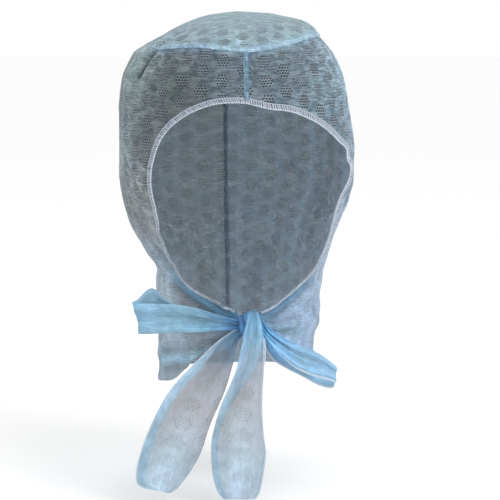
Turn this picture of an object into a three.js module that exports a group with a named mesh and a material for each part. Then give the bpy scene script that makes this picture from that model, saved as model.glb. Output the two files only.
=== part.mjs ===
// A tie-on surgical hood: an oval crown, two side panels that run down over the neck as a skirt, an
// overlocked edge round the face, and two ties in a bow under the chin. It keeps the form it has on a head.
//
// Millimetres, +Z up. The face looks along -Y and the wearer's left is +X. The origin is the inside of
// the crown, where the top of the head sits. A place on the hood is a bearing and a height: a bearing of
// 0 degrees is the middle of the front, 90 the wearer's left side, -90 the right side and 180 the back.

import * as THREE from 'three';

const CLOTH = 1.2;            // wall of every piece of cloth
const GAP = 0.3;              // room between neighbouring pieces
const CROWN_TOP = CLOTH;      // outside of the crown above the origin
const SEAM_WIDTH = 3.4;       // raised band over a seam
const SEAM_THICK = 1.3;
const SEAM_LIFT = SEAM_THICK / 2 + 1.5 * GAP;   // its middle, out from the cloth
const EDGING_WIDTH = 4.0;     // overlocked edge round the face
const EDGING_THICK = 1.8;
const KNOT_CENTRE = new THREE.Vector3(1.8, -93, -224.2);
const KNOT_HALF = new THREE.Vector3(9.4, 5.6, 7.9);
const KNOT_SQUARE = 0.7;      // 1 is a plain ellipsoid, less is squarer
const FRONT_SEAM = 0;         // bearings of the two upright seams
const BACK_SEAM = 180;
const POINTED_DEPTH = 0.35;   // how far a pointed section also narrows in depth, as a share
const RIGHT_DOME = 0.97;      // how the crown rises from its seam: less climbs sooner
const LEFT_DOME = 0.53;

// How finely each piece is divided.
const PANEL_COLUMNS = 24;     // round one side panel
const COLUMN_SPREAD = 1.15;   // 1 spaces them evenly, more draws them together in front
const CROWN_RINGS = [1, 0.985, 0.95, 0.88, 0.76, 0.58, 0.38, 0.18];   // as shares of the way out to its seam
const FACE_STEPS = 20;        // along one side of the face edge
const FOREHEAD_ROWS = 3;      // above the face edge
const THROAT_STEPS = 7;       // along the edge under the throat
const FRONT_SEAM_STEPS = 5;
const BACK_SEAM_STEPS = 16;
const BAND_SIDES = 6;         // round a seam or an edging
const LOOP_SHAPE = { steps: 22, columns: 5, pleats: 1.5, pleatDepth: 0.5 };
const TAIL_SHAPE = { steps: 18, columns: 5, pleats: 1, pleatDepth: 0.8 };

// Level cuts through the hood, from the crown to the hem: half widths to the wearer's right and left,
// depths before and behind the origin, and how full the rounding is in front and behind (2 is an ellipse,
// less is more pointed).
const SECTIONS = [
  { height: -6, right: 52, left: 50, front: 70, back: 74, frontFull: 2.1, backFull: 2.1 },
  { height: -13, right: 62, left: 59, front: 78, back: 83, frontFull: 2.1, backFull: 2.1 },
  { height: -20, right: 70, left: 66, front: 84, back: 90, frontFull: 2.1, backFull: 2.1 },
  { height: -32, right: 79.5, left: 75, front: 90, back: 96, frontFull: 2.1, backFull: 2.1 },
  { height: -50, right: 87.5, left: 82.5, front: 95, back: 101, frontFull: 2.1, backFull: 2.1 },
  { height: -76, right: 90.3, left: 87, front: 98, back: 105, frontFull: 2.1, backFull: 2.1 },
  { height: -100, right: 90.4, left: 90.4, front: 97, back: 107, frontFull: 2.1, backFull: 2.1 },
  { height: -122, right: 89.5, left: 90.4, front: 94, back: 107, frontFull: 2.1, backFull: 2.1 },
  { height: -140, right: 86.7, left: 86.8, front: 91, back: 105, frontFull: 2, backFull: 2.1 },
  { height: -160, right: 81, left: 78.5, front: 90, back: 101, frontFull: 1.9, backFull: 2 },
  { height: -180, right: 70, left: 71.5, front: 91, back: 96, frontFull: 1.7, backFull: 2 },
  { height: -197, right: 62, left: 68, front: 93, back: 91, frontFull: 1.5, backFull: 2 },
  { height: -220, right: 61.6, left: 65.2, front: 93, back: 88, frontFull: 1.3, backFull: 2 },
  { height: -242, right: 60.6, left: 62.5, front: 92, back: 87, frontFull: 1.3, backFull: 2 },
  { height: -262, right: 59.8, left: 60.8, front: 90, back: 89, frontFull: 1.3, backFull: 2 },
  { height: -290, right: 61, left: 61.5, front: 88, back: 93, frontFull: 1.4, backFull: 2 },
];

// The seam between the crown and the side panels runs round the top, lowest at the front and the back.
const CROWN_SEAM = [
  { bearing: -180, height: -30 },
  { bearing: -120, height: -30 },
  { bearing: -58, height: -26 },
  { bearing: -25, height: -24 },
  { bearing: 0, height: -27 },
  { bearing: 14, height: -25 },
  { bearing: 34, height: -20.5 },
  { bearing: 55, height: -17 },
  { bearing: 92, height: -15.5 },
  { bearing: 135, height: -21 },
  { bearing: 180, height: -30 },
];

const HEM = [
  { bearing: -180, height: -286 },
  { bearing: -94, height: -281.5 },
  { bearing: 0, height: -280 },
  { bearing: 95, height: -280 },
  { bearing: 180, height: -286 },
];

// Each side panel's front outline: the edge round the face, from the middle of the forehead to the knot,
// and the edge under the throat, from the knot back to the hem.
const SIDES = {
  right: {
    turn: -1,
    hemStart: -95,
    face: [
      { bearing: 0, height: -62.8 },
      { bearing: -10.2, height: -62.9 },
      { bearing: -17.1, height: -65 },
      { bearing: -29.9, height: -74.1 },
      { bearing: -40.5, height: -88.3 },
      { bearing: -47.4, height: -109.6 },
      { bearing: -49.2, height: -129.6 },
      { bearing: -49.3, height: -153.9 },
      { bearing: -53.7, height: -182.9 },
      { bearing: -54, height: -191.7 },
      { bearing: -47.5, height: -199 },
      { bearing: -29.7, height: -209.3 },
      { bearing: -15, height: -214.8 },
    ],
    throat: [
      { bearing: -14.5, height: -227 },
      { bearing: -26, height: -237.4 },
      { bearing: -48.3, height: -257.9 },
      { bearing: -62.4, height: -274 },
      { bearing: -73.6, height: -278.3 },
    ],
  },
  left: {
    turn: 1,
    hemStart: 95,
    face: [
      { bearing: 0, height: -62.8 },
      { bearing: 11.4, height: -67.1 },
      { bearing: 20.1, height: -68.7 },
      { bearing: 35.3, height: -76.9 },
      { bearing: 48.6, height: -92.5 },
      { bearing: 52.5, height: -101.5 },
      { bearing: 60, height: -114 },
      { bearing: 55.5, height: -127 },
      { bearing: 56, height: -140.5 },
      { bearing: 60.3, height: -156.7 },
      { bearing: 63.6, height: -174 },
      { bearing: 56.3, height: -190.4 },
      { bearing: 42.1, height: -202.6 },
      { bearing: 26.8, height: -213 },
      { bearing: 17, height: -216.6 },
    ],
    throat: [
      { bearing: 17, height: -231 },
      { bearing: 33.1, height: -245.4 },
      { bearing: 43.8, height: -254.1 },
      { bearing: 60.3, height: -266.3 },
      { bearing: 75.5, height: -274.1 },
    ],
  },
};

// Folds and hollows of the worn cloth, each along a line from one place to another: how far to either
// side it reaches, and how far the cloth stands out there (less than 0 is a hollow).
const FOLDS = [
  { from: [-50, -17], to: [-57, -44], reach: 5, stand: -3 },       // crease above the right temple
  { from: [-64, -22], to: [-72, -50], reach: 9, stand: 2 },        // puff behind the crease
  { from: [58, -106], to: [57, -124], reach: 12, stand: 4 },       // edge held off the left temple
  { from: [-58, -192], to: [-170, -197], reach: 7, stand: -1.4 },  // cloth drawn in under the right ear
  { from: [66, -196], to: [170, -197], reach: 7, stand: -1 },      // and under the left one
  { from: [-20, -219], to: [-70, -236], reach: 6, stand: 1.6 },    // gathers that run to the knot
  { from: [-22, -229], to: [-76, -268], reach: 5, stand: 1.6 },
  { from: [-30, -228], to: [-72, -252], reach: 5, stand: -1.4 },
  { from: [24, -222], to: [84, -214], reach: 6, stand: -1.6 },
  { from: [24, -224], to: [84, -236], reach: 6, stand: 1.6 },
  { from: [26, -230], to: [78, -256], reach: 6, stand: -1.6 },
  { from: [-84, -70], to: [-78, -165], reach: 10, stand: -1.6 },   // slack cloth over the ears
  { from: [84, -60], to: [92, -150], reach: 10, stand: -1.4 },
  { from: [148, -120], to: [150, -190], reach: 9, stand: 2 },      // slack cloth at the back of the neck
  { from: [-150, -125], to: [-146, -190], reach: 9, stand: 2 },
  { from: [180, -130], to: [180, -195], reach: 9, stand: -1.5 },
  { from: [-125, -215], to: [-125, -284], reach: 9, stand: 2 },    // soft flutes of the skirt
  { from: [130, -215], to: [132, -284], reach: 9, stand: 2 },
];

// Ribbons of the bow, by stations along the ribbon: its upper (or wearer's right) edge, its lower (or
// left) edge, and how far in front of the origin it lies.
const LOOP_RIGHT = [
  { highX: -8, highZ: -219.3, lowX: -8, lowZ: -226.3, front: 95.4 },
  { highX: -17.2, highZ: -216.8, lowX: -17.2, lowZ: -226.8, front: 97.8 },
  { highX: -38.3, highZ: -210.1, lowX: -38, lowZ: -228, front: 98.8 },
  { highX: -51, highZ: -207.6, lowX: -50, lowZ: -228.2, front: 98.4 },
  { highX: -67, highZ: -207.2, lowX: -65, lowZ: -228.8, front: 97.4 },
  { highX: -78.5, highZ: -206.8, lowX: -75, lowZ: -229.1, front: 96 },
  { highX: -82.4, highZ: -206.8, lowX: -77.6, lowZ: -229, front: 93.6 },
  { highX: -78.5, highZ: -204.9, lowX: -75, lowZ: -228.2, front: 91.4 },
  { highX: -68.1, highZ: -196.8, lowX: -66, lowZ: -227.4, front: 90.6 },
  { highX: -56, highZ: -206.8, lowX: -52, lowZ: -226.6, front: 90.4 },
  { highX: -38, highZ: -212.4, lowX: -38, lowZ: -226, front: 90.4 },
  { highX: -18, highZ: -217, lowX: -18, lowZ: -225.4, front: 91.2 },
  { highX: -8, highZ: -220, lowX: -8, lowZ: -225.6, front: 92.4 },
];

const LOOP_LEFT = [
  { highX: 11.7, highZ: -220.4, lowX: 11.6, lowZ: -228.4, front: 95.2 },
  { highX: 17.6, highZ: -226.6, lowX: 15.6, lowZ: -235, front: 97 },
  { highX: 27.4, highZ: -232.9, lowX: 24, lowZ: -244.6, front: 98.4 },
  { highX: 40.8, highZ: -239.1, lowX: 37, lowZ: -255.8, front: 98.6 },
  { highX: 54, highZ: -246, lowX: 50.5, lowZ: -261.8, front: 97.6 },
  { highX: 62.6, highZ: -252.8, lowX: 60.5, lowZ: -264.8, front: 96 },
  { highX: 66.2, highZ: -256.6, lowX: 65.2, lowZ: -267.4, front: 93.6 },
  { highX: 62.6, highZ: -255, lowX: 63.4, lowZ: -271.4, front: 91.2 },
  { highX: 53, highZ: -249.6, lowX: 54.3, lowZ: -269.8, front: 90.4 },
  { highX: 40, highZ: -244, lowX: 41.5, lowZ: -262.9, front: 90.2 },
  { highX: 27.4, highZ: -237.4, lowX: 29.4, lowZ: -256.5, front: 90.4 },
  { highX: 18, highZ: -230.8, lowX: 18.4, lowZ: -248.6, front: 91 },
  { highX: 11.7, highZ: -223, lowX: 11.8, lowZ: -234, front: 92.4 },
];

const TAIL_RIGHT = [
  { highX: -8.8, highZ: -228, lowX: -3.2, lowZ: -232.6, front: 93.8 },
  { highX: -19, highZ: -234.9, lowX: -6.6, lowZ: -238, front: 94.4 },
  { highX: -38.2, highZ: -252.6, lowX: -10, lowZ: -253, front: 95 },
  { highX: -54.8, highZ: -270.6, lowX: -16, lowZ: -272.7, front: 95.4 },
  { highX: -68.8, highZ: -295.6, lowX: -25.8, lowZ: -294.9, front: 95.2 },
  { highX: -78, highZ: -320.9, lowX: -34, lowZ: -319, front: 94.4 },
  { highX: -80, highZ: -333, lowX: -44.1, lowZ: -335.8, front: 94 },
  { highX: -76.6, highZ: -340.6, lowX: -52, lowZ: -345, front: 93.8 },
  { highX: -68, highZ: -344, lowX: -57.3, lowZ: -346.9, front: 93.8 },
];

const TAIL_LEFT = [
  { highX: 0.6, highZ: -214.6, lowX: 8.4, lowZ: -214.6, front: 91 },
  { highX: 0.6, highZ: -214.8, lowX: 8.6, lowZ: -214.8, front: 96.8 },
  { highX: -0.4, highZ: -219.6, lowX: 9.8, lowZ: -219.6, front: 101.2 },
  { highX: -2.6, highZ: -229, lowX: 11.6, lowZ: -229, front: 102 },
  { highX: -4.7, highZ: -240.8, lowX: 12.9, lowZ: -240.8, front: 101.2 },
  { highX: -8.4, highZ: -257, lowX: 11.9, lowZ: -255.1, front: 100.6 },
  { highX: -19.3, highZ: -282.7, lowX: 10.6, lowZ: -282.7, front: 100.4 },
  { highX: -25.5, highZ: -305, lowX: 12, lowZ: -305.8, front: 100.6 },
  { highX: -26.2, highZ: -316.3, lowX: 13.4, lowZ: -316.3, front: 100.6 },
  { highX: -22.9, highZ: -336.2, lowX: 10.6, lowZ: -337, front: 100 },
  { highX: -18.4, highZ: -346, lowX: 7.6, lowZ: -347, front: 99.6 },
  { highX: -12, highZ: -351, lowX: 3, lowZ: -351.6, front: 99.4 },
];

// ---- curves and grids ----

// A smooth curve through two columns of a table that never overshoots its rows.
function smoothly(table, input, output) {
  const rows = [...table].sort((p, q) => p[input] - q[input]);
  const x = rows.map((row) => row[input]);
  const y = rows.map((row) => row[output]);
  const last = x.length - 1;
  const slope = x.slice(1).map((end, i) => (y[i + 1] - y[i]) / (end - x[i]));
  const tangent = x.map((_, i) => {
    if (i === 0 || i === last) return slope[Math.min(i, last - 1)];
    const product = slope[i - 1] * slope[i];
    return product > 0 ? (2 * product) / (slope[i - 1] + slope[i]) : 0;
  });
  return (at) => {
    const inside = THREE.MathUtils.clamp(at, x[0], x[last]);
    const i = Math.min(last - 1, x.findLastIndex((start) => start <= inside));
    const width = x[i + 1] - x[i];
    const t = (inside - x[i]) / width;
    const rise = t * t * (3 - 2 * t);
    const leave = t * (1 - t) * (1 - t) * width * tangent[i];
    const arrive = t * t * (t - 1) * width * tangent[i + 1];
    return y[i] + (y[i + 1] - y[i]) * rise + leave + arrive;
  };
}

// Evenly spaced points on a smooth curve through a list of points.
function along(list, count) {
  const curve = new THREE.CatmullRomCurve3(list, false, 'centripetal');
  return curve.getSpacedPoints(count);
}

// One closed body from triangles given by corner numbers, turned so that its faces look out.
function closedBody(points, corners) {
  let volume = 0;
  for (let i = 0; i < corners.length; i += 3) {
    const [a, b, c] = [0, 1, 2].map((k) => points[corners[i + k]]);
    volume += new THREE.Vector3().crossVectors(a, b).dot(c);
  }
  if (volume < 0) corners.reverse();
  const geometry = new THREE.BufferGeometry().setFromPoints(points);
  geometry.setIndex(corners);
  geometry.computeVertexNormals();
  return geometry;
}

// A sheet of cloth: a grid of { point, normal } becomes an outer and an inner face, closed at the rims.
// The rows may close on themselves, and the last row may meet in one point.
function clothSheet(grid, { ring = false, apex = null } = {}) {
  const columns = grid[0].length;
  const faces = [0, -CLOTH].map((depth) =>
    grid.flat().map(({ point, normal }) => point.clone().addScaledVector(normal, depth)));
  const points = [...faces[0], ...faces[1]];
  const inner = faces[0].length;
  const steps = ring ? columns : columns - 1;
  const at = (row, column) => row * columns + (column % columns);
  const corners = [];
  const quad = (a, b, c, d) => corners.push(a, b, c, a, c, d);
  for (let row = 0; row < grid.length - 1; row += 1) {
    for (let column = 0; column < steps; column += 1) {
      const [a, b] = [at(row, column), at(row, column + 1)];
      const [c, d] = [at(row + 1, column + 1), at(row + 1, column)];
      quad(a, b, c, d);
      quad(inner + d, inner + c, inner + b, inner + a);
    }
  }
  const wall = (a, b) => quad(b, a, inner + a, inner + b);
  for (let column = 0; column < steps; column += 1) {
    wall(at(0, column), at(0, column + 1));
    if (!apex) wall(at(grid.length - 1, column + 1), at(grid.length - 1, column));
  }
  if (!ring) {
    for (let row = 0; row < grid.length - 1; row += 1) {
      wall(at(row + 1, 0), at(row, 0));
      wall(at(row, columns - 1), at(row + 1, columns - 1));
    }
  }
  if (apex) {
    const top = points.push(apex.clone(), apex.clone().setZ(apex.z - CLOTH)) - 2;
    for (let column = 0; column < steps; column += 1) {
      const [a, b] = [at(grid.length - 1, column), at(grid.length - 1, column + 1)];
      corners.push(a, b, top, inner + b, inner + a, top + 1);
    }
  }
  return closedBody(points, corners);
}

// A flat band with rounded edges, swept along the middle of a route of { point, normal }.
function band(route, width, thick, { ring = false } = {}) {
  const sides = BAND_SIDES;
  const count = route.length;
  const points = [];
  route.forEach(({ point, normal }, i) => {
    const before = route[ring ? (i + count - 1) % count : Math.max(0, i - 1)].point;
    const after = route[ring ? (i + 1) % count : Math.min(count - 1, i + 1)].point;
    const across = new THREE.Vector3().subVectors(after, before).cross(normal).normalize();
    for (let side = 0; side < sides; side += 1) {
      const turn = (side / sides) * 2 * Math.PI;
      points.push(point.clone()
        .addScaledVector(across, (width / 2) * Math.cos(turn))
        .addScaledVector(normal, (thick / 2) * Math.sin(turn)));
    }
  });
  const corners = [];
  const at = (i, side) => (i % count) * sides + (side % sides);
  for (let i = 0; i < (ring ? count : count - 1); i += 1) {
    for (let side = 0; side < sides; side += 1) {
      corners.push(at(i, side), at(i, side + 1), at(i + 1, side + 1));
      corners.push(at(i, side), at(i + 1, side + 1), at(i + 1, side));
    }
  }
  if (!ring) {
    for (let side = 1; side < sides - 1; side += 1) {
      corners.push(at(0, 0), at(0, side + 1), at(0, side));
      corners.push(at(count - 1, 0), at(count - 1, side), at(count - 1, side + 1));
    }
  }
  return closedBody(points, corners);
}

// ---- the skin of the hood ----

const section = {};
for (const column of ['right', 'left', 'front', 'back', 'frontFull', 'backFull']) {
  section[column] = smoothly(SECTIONS, 'height', column);
}
const crownSeam = smoothly(CROWN_SEAM, 'bearing', 'height');
const hem = smoothly(HEM, 'bearing', 'height');

// The smooth outside of the hood, before its folds.
function skin(bearing, height) {
  const turn = THREE.MathUtils.degToRad(bearing);
  const side = Math.sin(turn);
  const fore = Math.cos(turn);
  const width = side < 0 ? section.right(height) : section.left(height);
  const depth = fore > 0 ? section.front(height) : section.back(height);
  const sharp = 2 / (fore > 0 ? section.frontFull(height) : section.backFull(height));
  const straight = sharp > 1 ? 1 + (sharp - 1) * POINTED_DEPTH : sharp;
  const x = width * Math.sign(side) * Math.abs(side) ** sharp;
  const y = -depth * Math.sign(fore) * Math.abs(fore) ** straight;
  return new THREE.Vector3(x, y, height);
}

function skinSlopes(bearing, height) {
  const step = 0.5;
  const round = skin(bearing + step, height).sub(skin(bearing - step, height)).divideScalar(2 * step);
  const down = skin(bearing, height - step).sub(skin(bearing, height + step)).divideScalar(2 * step);
  return { round, down };
}

function skinNormal(bearing, height) {
  const { round, down } = skinSlopes(bearing, height);
  return new THREE.Vector3().crossVectors(down, round).normalize();
}

const foldLines = FOLDS.map(({ from, to, reach, stand }) => {
  const steps = 10;
  const line = Array.from({ length: steps + 1 }, (_, i) =>
    skin(from[0] + ((to[0] - from[0]) * i) / steps, from[1] + ((to[1] - from[1]) * i) / steps));
  return { line, reach, stand };
});

function foldAt(point) {
  const nearest = new THREE.Vector3();
  return foldLines.reduce((total, { line, reach, stand }) => {
    const distances = line.slice(1).map((end, i) =>
      new THREE.Line3(line[i], end).closestPointToPoint(point, true, nearest).distanceTo(point));
    return total + stand * Math.exp(-((Math.min(...distances) / reach) ** 2));
  }, 0);
}

// A place on the folded cloth, with the direction that looks out of it.
function cloth(bearing, height, lift = 0) {
  const smooth = skin(bearing, height);
  const normal = skinNormal(bearing, height);
  return { point: smooth.clone().addScaledVector(normal, foldAt(smooth) + lift), normal };
}

// The same place moved by a distance over the skin, away from an edge that runs along a direction.
function asideOf({ bearing, height }, direction, distance) {
  const { round, down } = skinSlopes(bearing, height);
  const away = new THREE.Vector3().crossVectors(direction, skinNormal(bearing, height)).normalize();
  const turn = away.dot(round) / round.lengthSq();
  return { bearing: bearing + turn * distance, height: height - away.dot(down) * distance };
}

// ---- outlines of the side panels ----

function places(table, count) {
  const curve = along(table.map(({ bearing, height }) => new THREE.Vector3(bearing, height, 0)), count);
  return curve.map((place) => ({ bearing: place.x, height: place.y }));
}

// Shares of the way from the front to the back, closer together in front.
const columnShares = Array.from({ length: PANEL_COLUMNS + 1 }, (_, i) =>
  (i / PANEL_COLUMNS) ** COLUMN_SPREAD);
// Half a gap beside an upright seam, in degrees.
const SEAM_CLEAR = THREE.MathUtils.radToDeg(GAP / 2 / section.front(crownSeam(FRONT_SEAM)));

// The middle of the overlocked edge, from the forehead to the knot.
function faceEdge(side, count) {
  return places(SIDES[side].face, count);
}

// The cut edge of the panel beside the overlocked edge.
function panelFaceEdge(side, count) {
  const edge = faceEdge(side, count);
  const clear = EDGING_WIDTH / 2 + 2 * GAP;   // twice, because both edges run in straight steps
  return edge.map((place, i) => {
    const before = edge[Math.max(0, i - 1)];
    const after = edge[Math.min(count, i + 1)];
    const direction = skin(after.bearing, after.height).sub(skin(before.bearing, before.height));
    return asideOf(place, direction, -SIDES[side].turn * clear);
  });
}

// The front outline of a panel, down the forehead seam, round the face, past the knot and under the throat.
function panelFront(side) {
  const { turn, hemStart, throat } = SIDES[side];
  const faceCut = panelFaceEdge(side, FACE_STEPS);
  faceCut[0].bearing = turn * SEAM_CLEAR;
  const forehead = Array.from({ length: FOREHEAD_ROWS }, (_, row) => ({
    bearing: turn * SEAM_CLEAR,
    height: THREE.MathUtils.lerp(crownSeam(FRONT_SEAM) - GAP / 2, faceCut[0].height, row / FOREHEAD_ROWS),
  }));
  const knotEnd = faceCut[FACE_STEPS];
  const besideKnot = {
    bearing: (knotEnd.bearing + throat[0].bearing) / 2,
    height: (knotEnd.height + throat[0].height) / 2,
  };
  const hemCorner = { bearing: hemStart, height: hem(hemStart) };
  return [...forehead, ...faceCut, besideKnot, ...places([...throat, hemCorner], THROAT_STEPS)];
}

// Rows run from the front outline round to the back seam, spread evenly between the crown seam and the hem.
function panelGrid(side) {
  const front = panelFront(side);
  const top = (bearing) => crownSeam(bearing) - GAP / 2;
  const share = ({ bearing, height }) => (height - top(bearing)) / (hem(bearing) - top(bearing));
  const stop = SIDES[side].turn * (BACK_SEAM - SEAM_CLEAR);
  return front.map((start, row) => {
    const backShare = row / (front.length - 1);
    const frontShare = THREE.MathUtils.clamp(share(start), 0, 1);
    return columnShares.map((across) => {
      const level = THREE.MathUtils.lerp(frontShare, backShare, THREE.MathUtils.smoothstep(across, 0, 1));
      const bearing = THREE.MathUtils.lerp(start.bearing, stop, across);
      return cloth(bearing, THREE.MathUtils.lerp(top(bearing), hem(bearing), level));
    });
  });
}

// ---- the pieces ----

// Bearings all round the crown seam, the same as the columns of the side panels below it.
function seamBearings() {
  const half = columnShares.map((share) => share * BACK_SEAM);
  return [...half.slice(1).reverse().map((bearing) => -bearing), ...half.slice(0, -1)];
}

// The crown rises from its seam as a low dome, flatter towards the wearer's right.
function crownPanel() {
  const flatTop = 1.6;
  const steepRim = 0.15;
  const grid = CROWN_RINGS.map((ring) => seamBearings().map((bearing) => {
    const rim = cloth(bearing, crownSeam(bearing) + GAP / 2);
    const leftward = (1 + Math.sin(THREE.MathUtils.degToRad(bearing))) / 2;
    const rise = (1 - ring * ring) ** THREE.MathUtils.lerp(RIGHT_DOME, LEFT_DOME, leftward);
    const point = new THREE.Vector3(
      rim.point.x * ring,
      rim.point.y * ring,
      THREE.MathUtils.lerp(rim.point.z, CROWN_TOP, rise),
    );
    const up = steepRim + flatTop * rise;
    const normal = rim.normal.clone().setZ(0).multiplyScalar(ring).setZ(up).normalize();
    return { point, normal: ring === 1 ? rim.normal : normal };
  }));
  return clothSheet(grid, { ring: true, apex: new THREE.Vector3(0, 0, CROWN_TOP) });
}

function crownSeamBand() {
  const route = seamBearings().map((bearing) => cloth(bearing, crownSeam(bearing), SEAM_LIFT));
  return band(route, SEAM_WIDTH, SEAM_THICK, { ring: true });
}

function uprightSeamBand(bearing, top, bottom, steps) {
  const route = Array.from({ length: steps + 1 }, (_, i) =>
    cloth(bearing, THREE.MathUtils.lerp(top, bottom, i / steps), SEAM_LIFT));
  return band(route, SEAM_WIDTH, SEAM_THICK);
}

function faceEdging() {
  const right = faceEdge('right', FACE_STEPS).reverse();
  const left = faceEdge('left', FACE_STEPS).slice(1);
  const route = [...right, ...left].map(({ bearing, height }) => cloth(bearing, height, -CLOTH / 2));
  return band(route, EDGING_WIDTH, EDGING_THICK);
}

function tieKnot() {
  const ball = new THREE.SphereGeometry(1, 20, 12);
  const position = ball.getAttribute('position');
  const square = (value) => Math.sign(value) * Math.abs(value) ** KNOT_SQUARE;
  const point = new THREE.Vector3();
  for (let i = 0; i < position.count; i += 1) {
    point.fromBufferAttribute(position, i);
    point.set(square(point.x), square(point.y), square(point.z)).multiply(KNOT_HALF).add(KNOT_CENTRE);
    position.setXYZ(i, point.x, point.y, point.z);
  }
  ball.computeVertexNormals();
  return ball;
}

// A ribbon of the bow: smooth edges through its stations, with soft lengthwise pleats between them.
function ribbon(stations, { steps, columns, pleats, pleatDepth }) {
  const high = along(stations.map(({ highX, highZ, front }) =>
    new THREE.Vector3(highX, -front, highZ)), steps);
  const low = along(stations.map(({ lowX, lowZ, front }) =>
    new THREE.Vector3(lowX, -front, lowZ)), steps);
  const middle = high.map((point, i) => point.clone().add(low[i]).multiplyScalar(0.5));
  const grid = high.map((point, row) => {
    const ahead = middle[Math.min(steps, row + 1)].clone().sub(middle[Math.max(0, row - 1)]);
    const normal = low[row].clone().sub(point).cross(ahead).normalize();
    return Array.from({ length: columns + 1 }, (_, column) => {
      const share = column / columns;
      const wave = pleatDepth * Math.sin(share * pleats * 2 * Math.PI);
      return { point: point.clone().lerp(low[row], share).addScaledVector(normal, wave), normal };
    });
  });
  return clothSheet(grid);
}

// ---- materials and the group ----

function clothMaterial(colour) {
  return new THREE.MeshStandardMaterial({
    color: colour,
    roughness: 0.9,
    metalness: 0,
    side: THREE.DoubleSide,
  });
}

const hood = new THREE.Group();

function addPiece(name, geometry, colour) {
  const piece = new THREE.Mesh(geometry, clothMaterial(colour));
  piece.name = name;
  hood.add(piece);
}

const PANEL_BLUE = 0x8fb0c4;
const SEAM_BLUE = 0x9fc3dc;
const TIE_BLUE = 0x9cc4e4;
const KNOT_BLUE = 0x6f9fca;
const THREAD = 0xd5e2ec;

const seamClear = SEAM_WIDTH / 2 + GAP;
addPiece('crown_panel', crownPanel(), PANEL_BLUE);
addPiece('side_panel_right', clothSheet(panelGrid('right')), PANEL_BLUE);
addPiece('side_panel_left', clothSheet(panelGrid('left')), PANEL_BLUE);
addPiece('crown_seam', crownSeamBand(), SEAM_BLUE);
addPiece('front_seam', uprightSeamBand(FRONT_SEAM, crownSeam(FRONT_SEAM) - seamClear,
  SIDES.right.face[0].height + EDGING_WIDTH / 2 + GAP, FRONT_SEAM_STEPS), SEAM_BLUE);
addPiece('back_seam', uprightSeamBand(BACK_SEAM, crownSeam(BACK_SEAM) - seamClear, hem(BACK_SEAM),
  BACK_SEAM_STEPS), SEAM_BLUE);
addPiece('face_edging', faceEdging(), THREAD);
addPiece('tie_knot', tieKnot(), KNOT_BLUE);
addPiece('bow_loop_right', ribbon(LOOP_RIGHT, LOOP_SHAPE), TIE_BLUE);
addPiece('bow_loop_left', ribbon(LOOP_LEFT, LOOP_SHAPE), TIE_BLUE);
addPiece('tie_tail_right', ribbon(TAIL_RIGHT, TAIL_SHAPE), TIE_BLUE);
addPiece('tie_tail_left', ribbon(TAIL_LEFT, TAIL_SHAPE), TIE_BLUE);

export default hood;
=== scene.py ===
# %% [markdown]
# # A tie-on surgical hood
# The real hood is cut from a thin non-woven cloth: an oval crown, two side panels that meet in seams at the
# front and the back, and two ties. Thread runs round the raw edge of the face opening. The lesson shows how
# such a thin, part see-through cloth is built from curved sheets, and how its pattern of holes is written as
# a material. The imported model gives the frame, so every piece goes where its solid already is.

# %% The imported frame
import math

import bpy
import numpy as np
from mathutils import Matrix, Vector, noise


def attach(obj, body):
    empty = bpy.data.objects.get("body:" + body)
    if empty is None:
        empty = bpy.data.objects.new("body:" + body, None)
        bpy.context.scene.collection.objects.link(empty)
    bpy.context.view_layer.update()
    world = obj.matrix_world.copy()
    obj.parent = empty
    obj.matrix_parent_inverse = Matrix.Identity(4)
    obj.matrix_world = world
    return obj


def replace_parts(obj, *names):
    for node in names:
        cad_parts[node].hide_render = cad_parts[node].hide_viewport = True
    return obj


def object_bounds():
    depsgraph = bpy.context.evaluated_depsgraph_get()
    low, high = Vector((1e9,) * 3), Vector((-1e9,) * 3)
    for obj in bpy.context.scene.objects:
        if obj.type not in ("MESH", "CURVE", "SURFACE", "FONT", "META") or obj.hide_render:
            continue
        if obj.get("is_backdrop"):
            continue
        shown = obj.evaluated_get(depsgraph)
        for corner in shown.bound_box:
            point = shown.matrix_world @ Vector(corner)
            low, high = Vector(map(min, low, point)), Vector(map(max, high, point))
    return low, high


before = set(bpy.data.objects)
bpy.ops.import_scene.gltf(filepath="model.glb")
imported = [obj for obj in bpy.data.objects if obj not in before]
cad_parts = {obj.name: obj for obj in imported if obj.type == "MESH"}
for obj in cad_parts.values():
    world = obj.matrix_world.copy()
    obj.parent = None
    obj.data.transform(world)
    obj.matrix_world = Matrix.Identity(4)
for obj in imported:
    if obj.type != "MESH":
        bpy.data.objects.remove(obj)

cad_low, cad_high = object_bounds()
MM = 0.001
draws = np.random.default_rng(7)
print("solids:", len(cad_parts), "box:", [round(v, 3) for v in (*cad_low, *cad_high)])

# %% [markdown]
# ## Camera, floor and light
# The hood is seen from straight in front, a little from above and from its own right. A long lens keeps the
# face opening from bulging. The floor and the world are almost white, and one large soft lamp from the
# wearer's left gives the cloth its brighter side.

# %% Camera
VIEW_AZIMUTH = -5
VIEW_ELEVATION = 7
VIEW_DISTANCE = 1.4
VIEW_WIDTH = 0.385        # what the picture spans at the distance of its target
VIEW_TARGET = Vector((0.01076, -0.00094, -0.181))


def direction(azimuth, elevation):
    """The way from a target to something at these angles. Azimuth 0 is in front of the face."""
    turn = math.radians(azimuth)
    lift = math.radians(elevation)
    return Vector((math.sin(turn) * math.cos(lift), -math.cos(turn) * math.cos(lift), math.sin(lift)))


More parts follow.
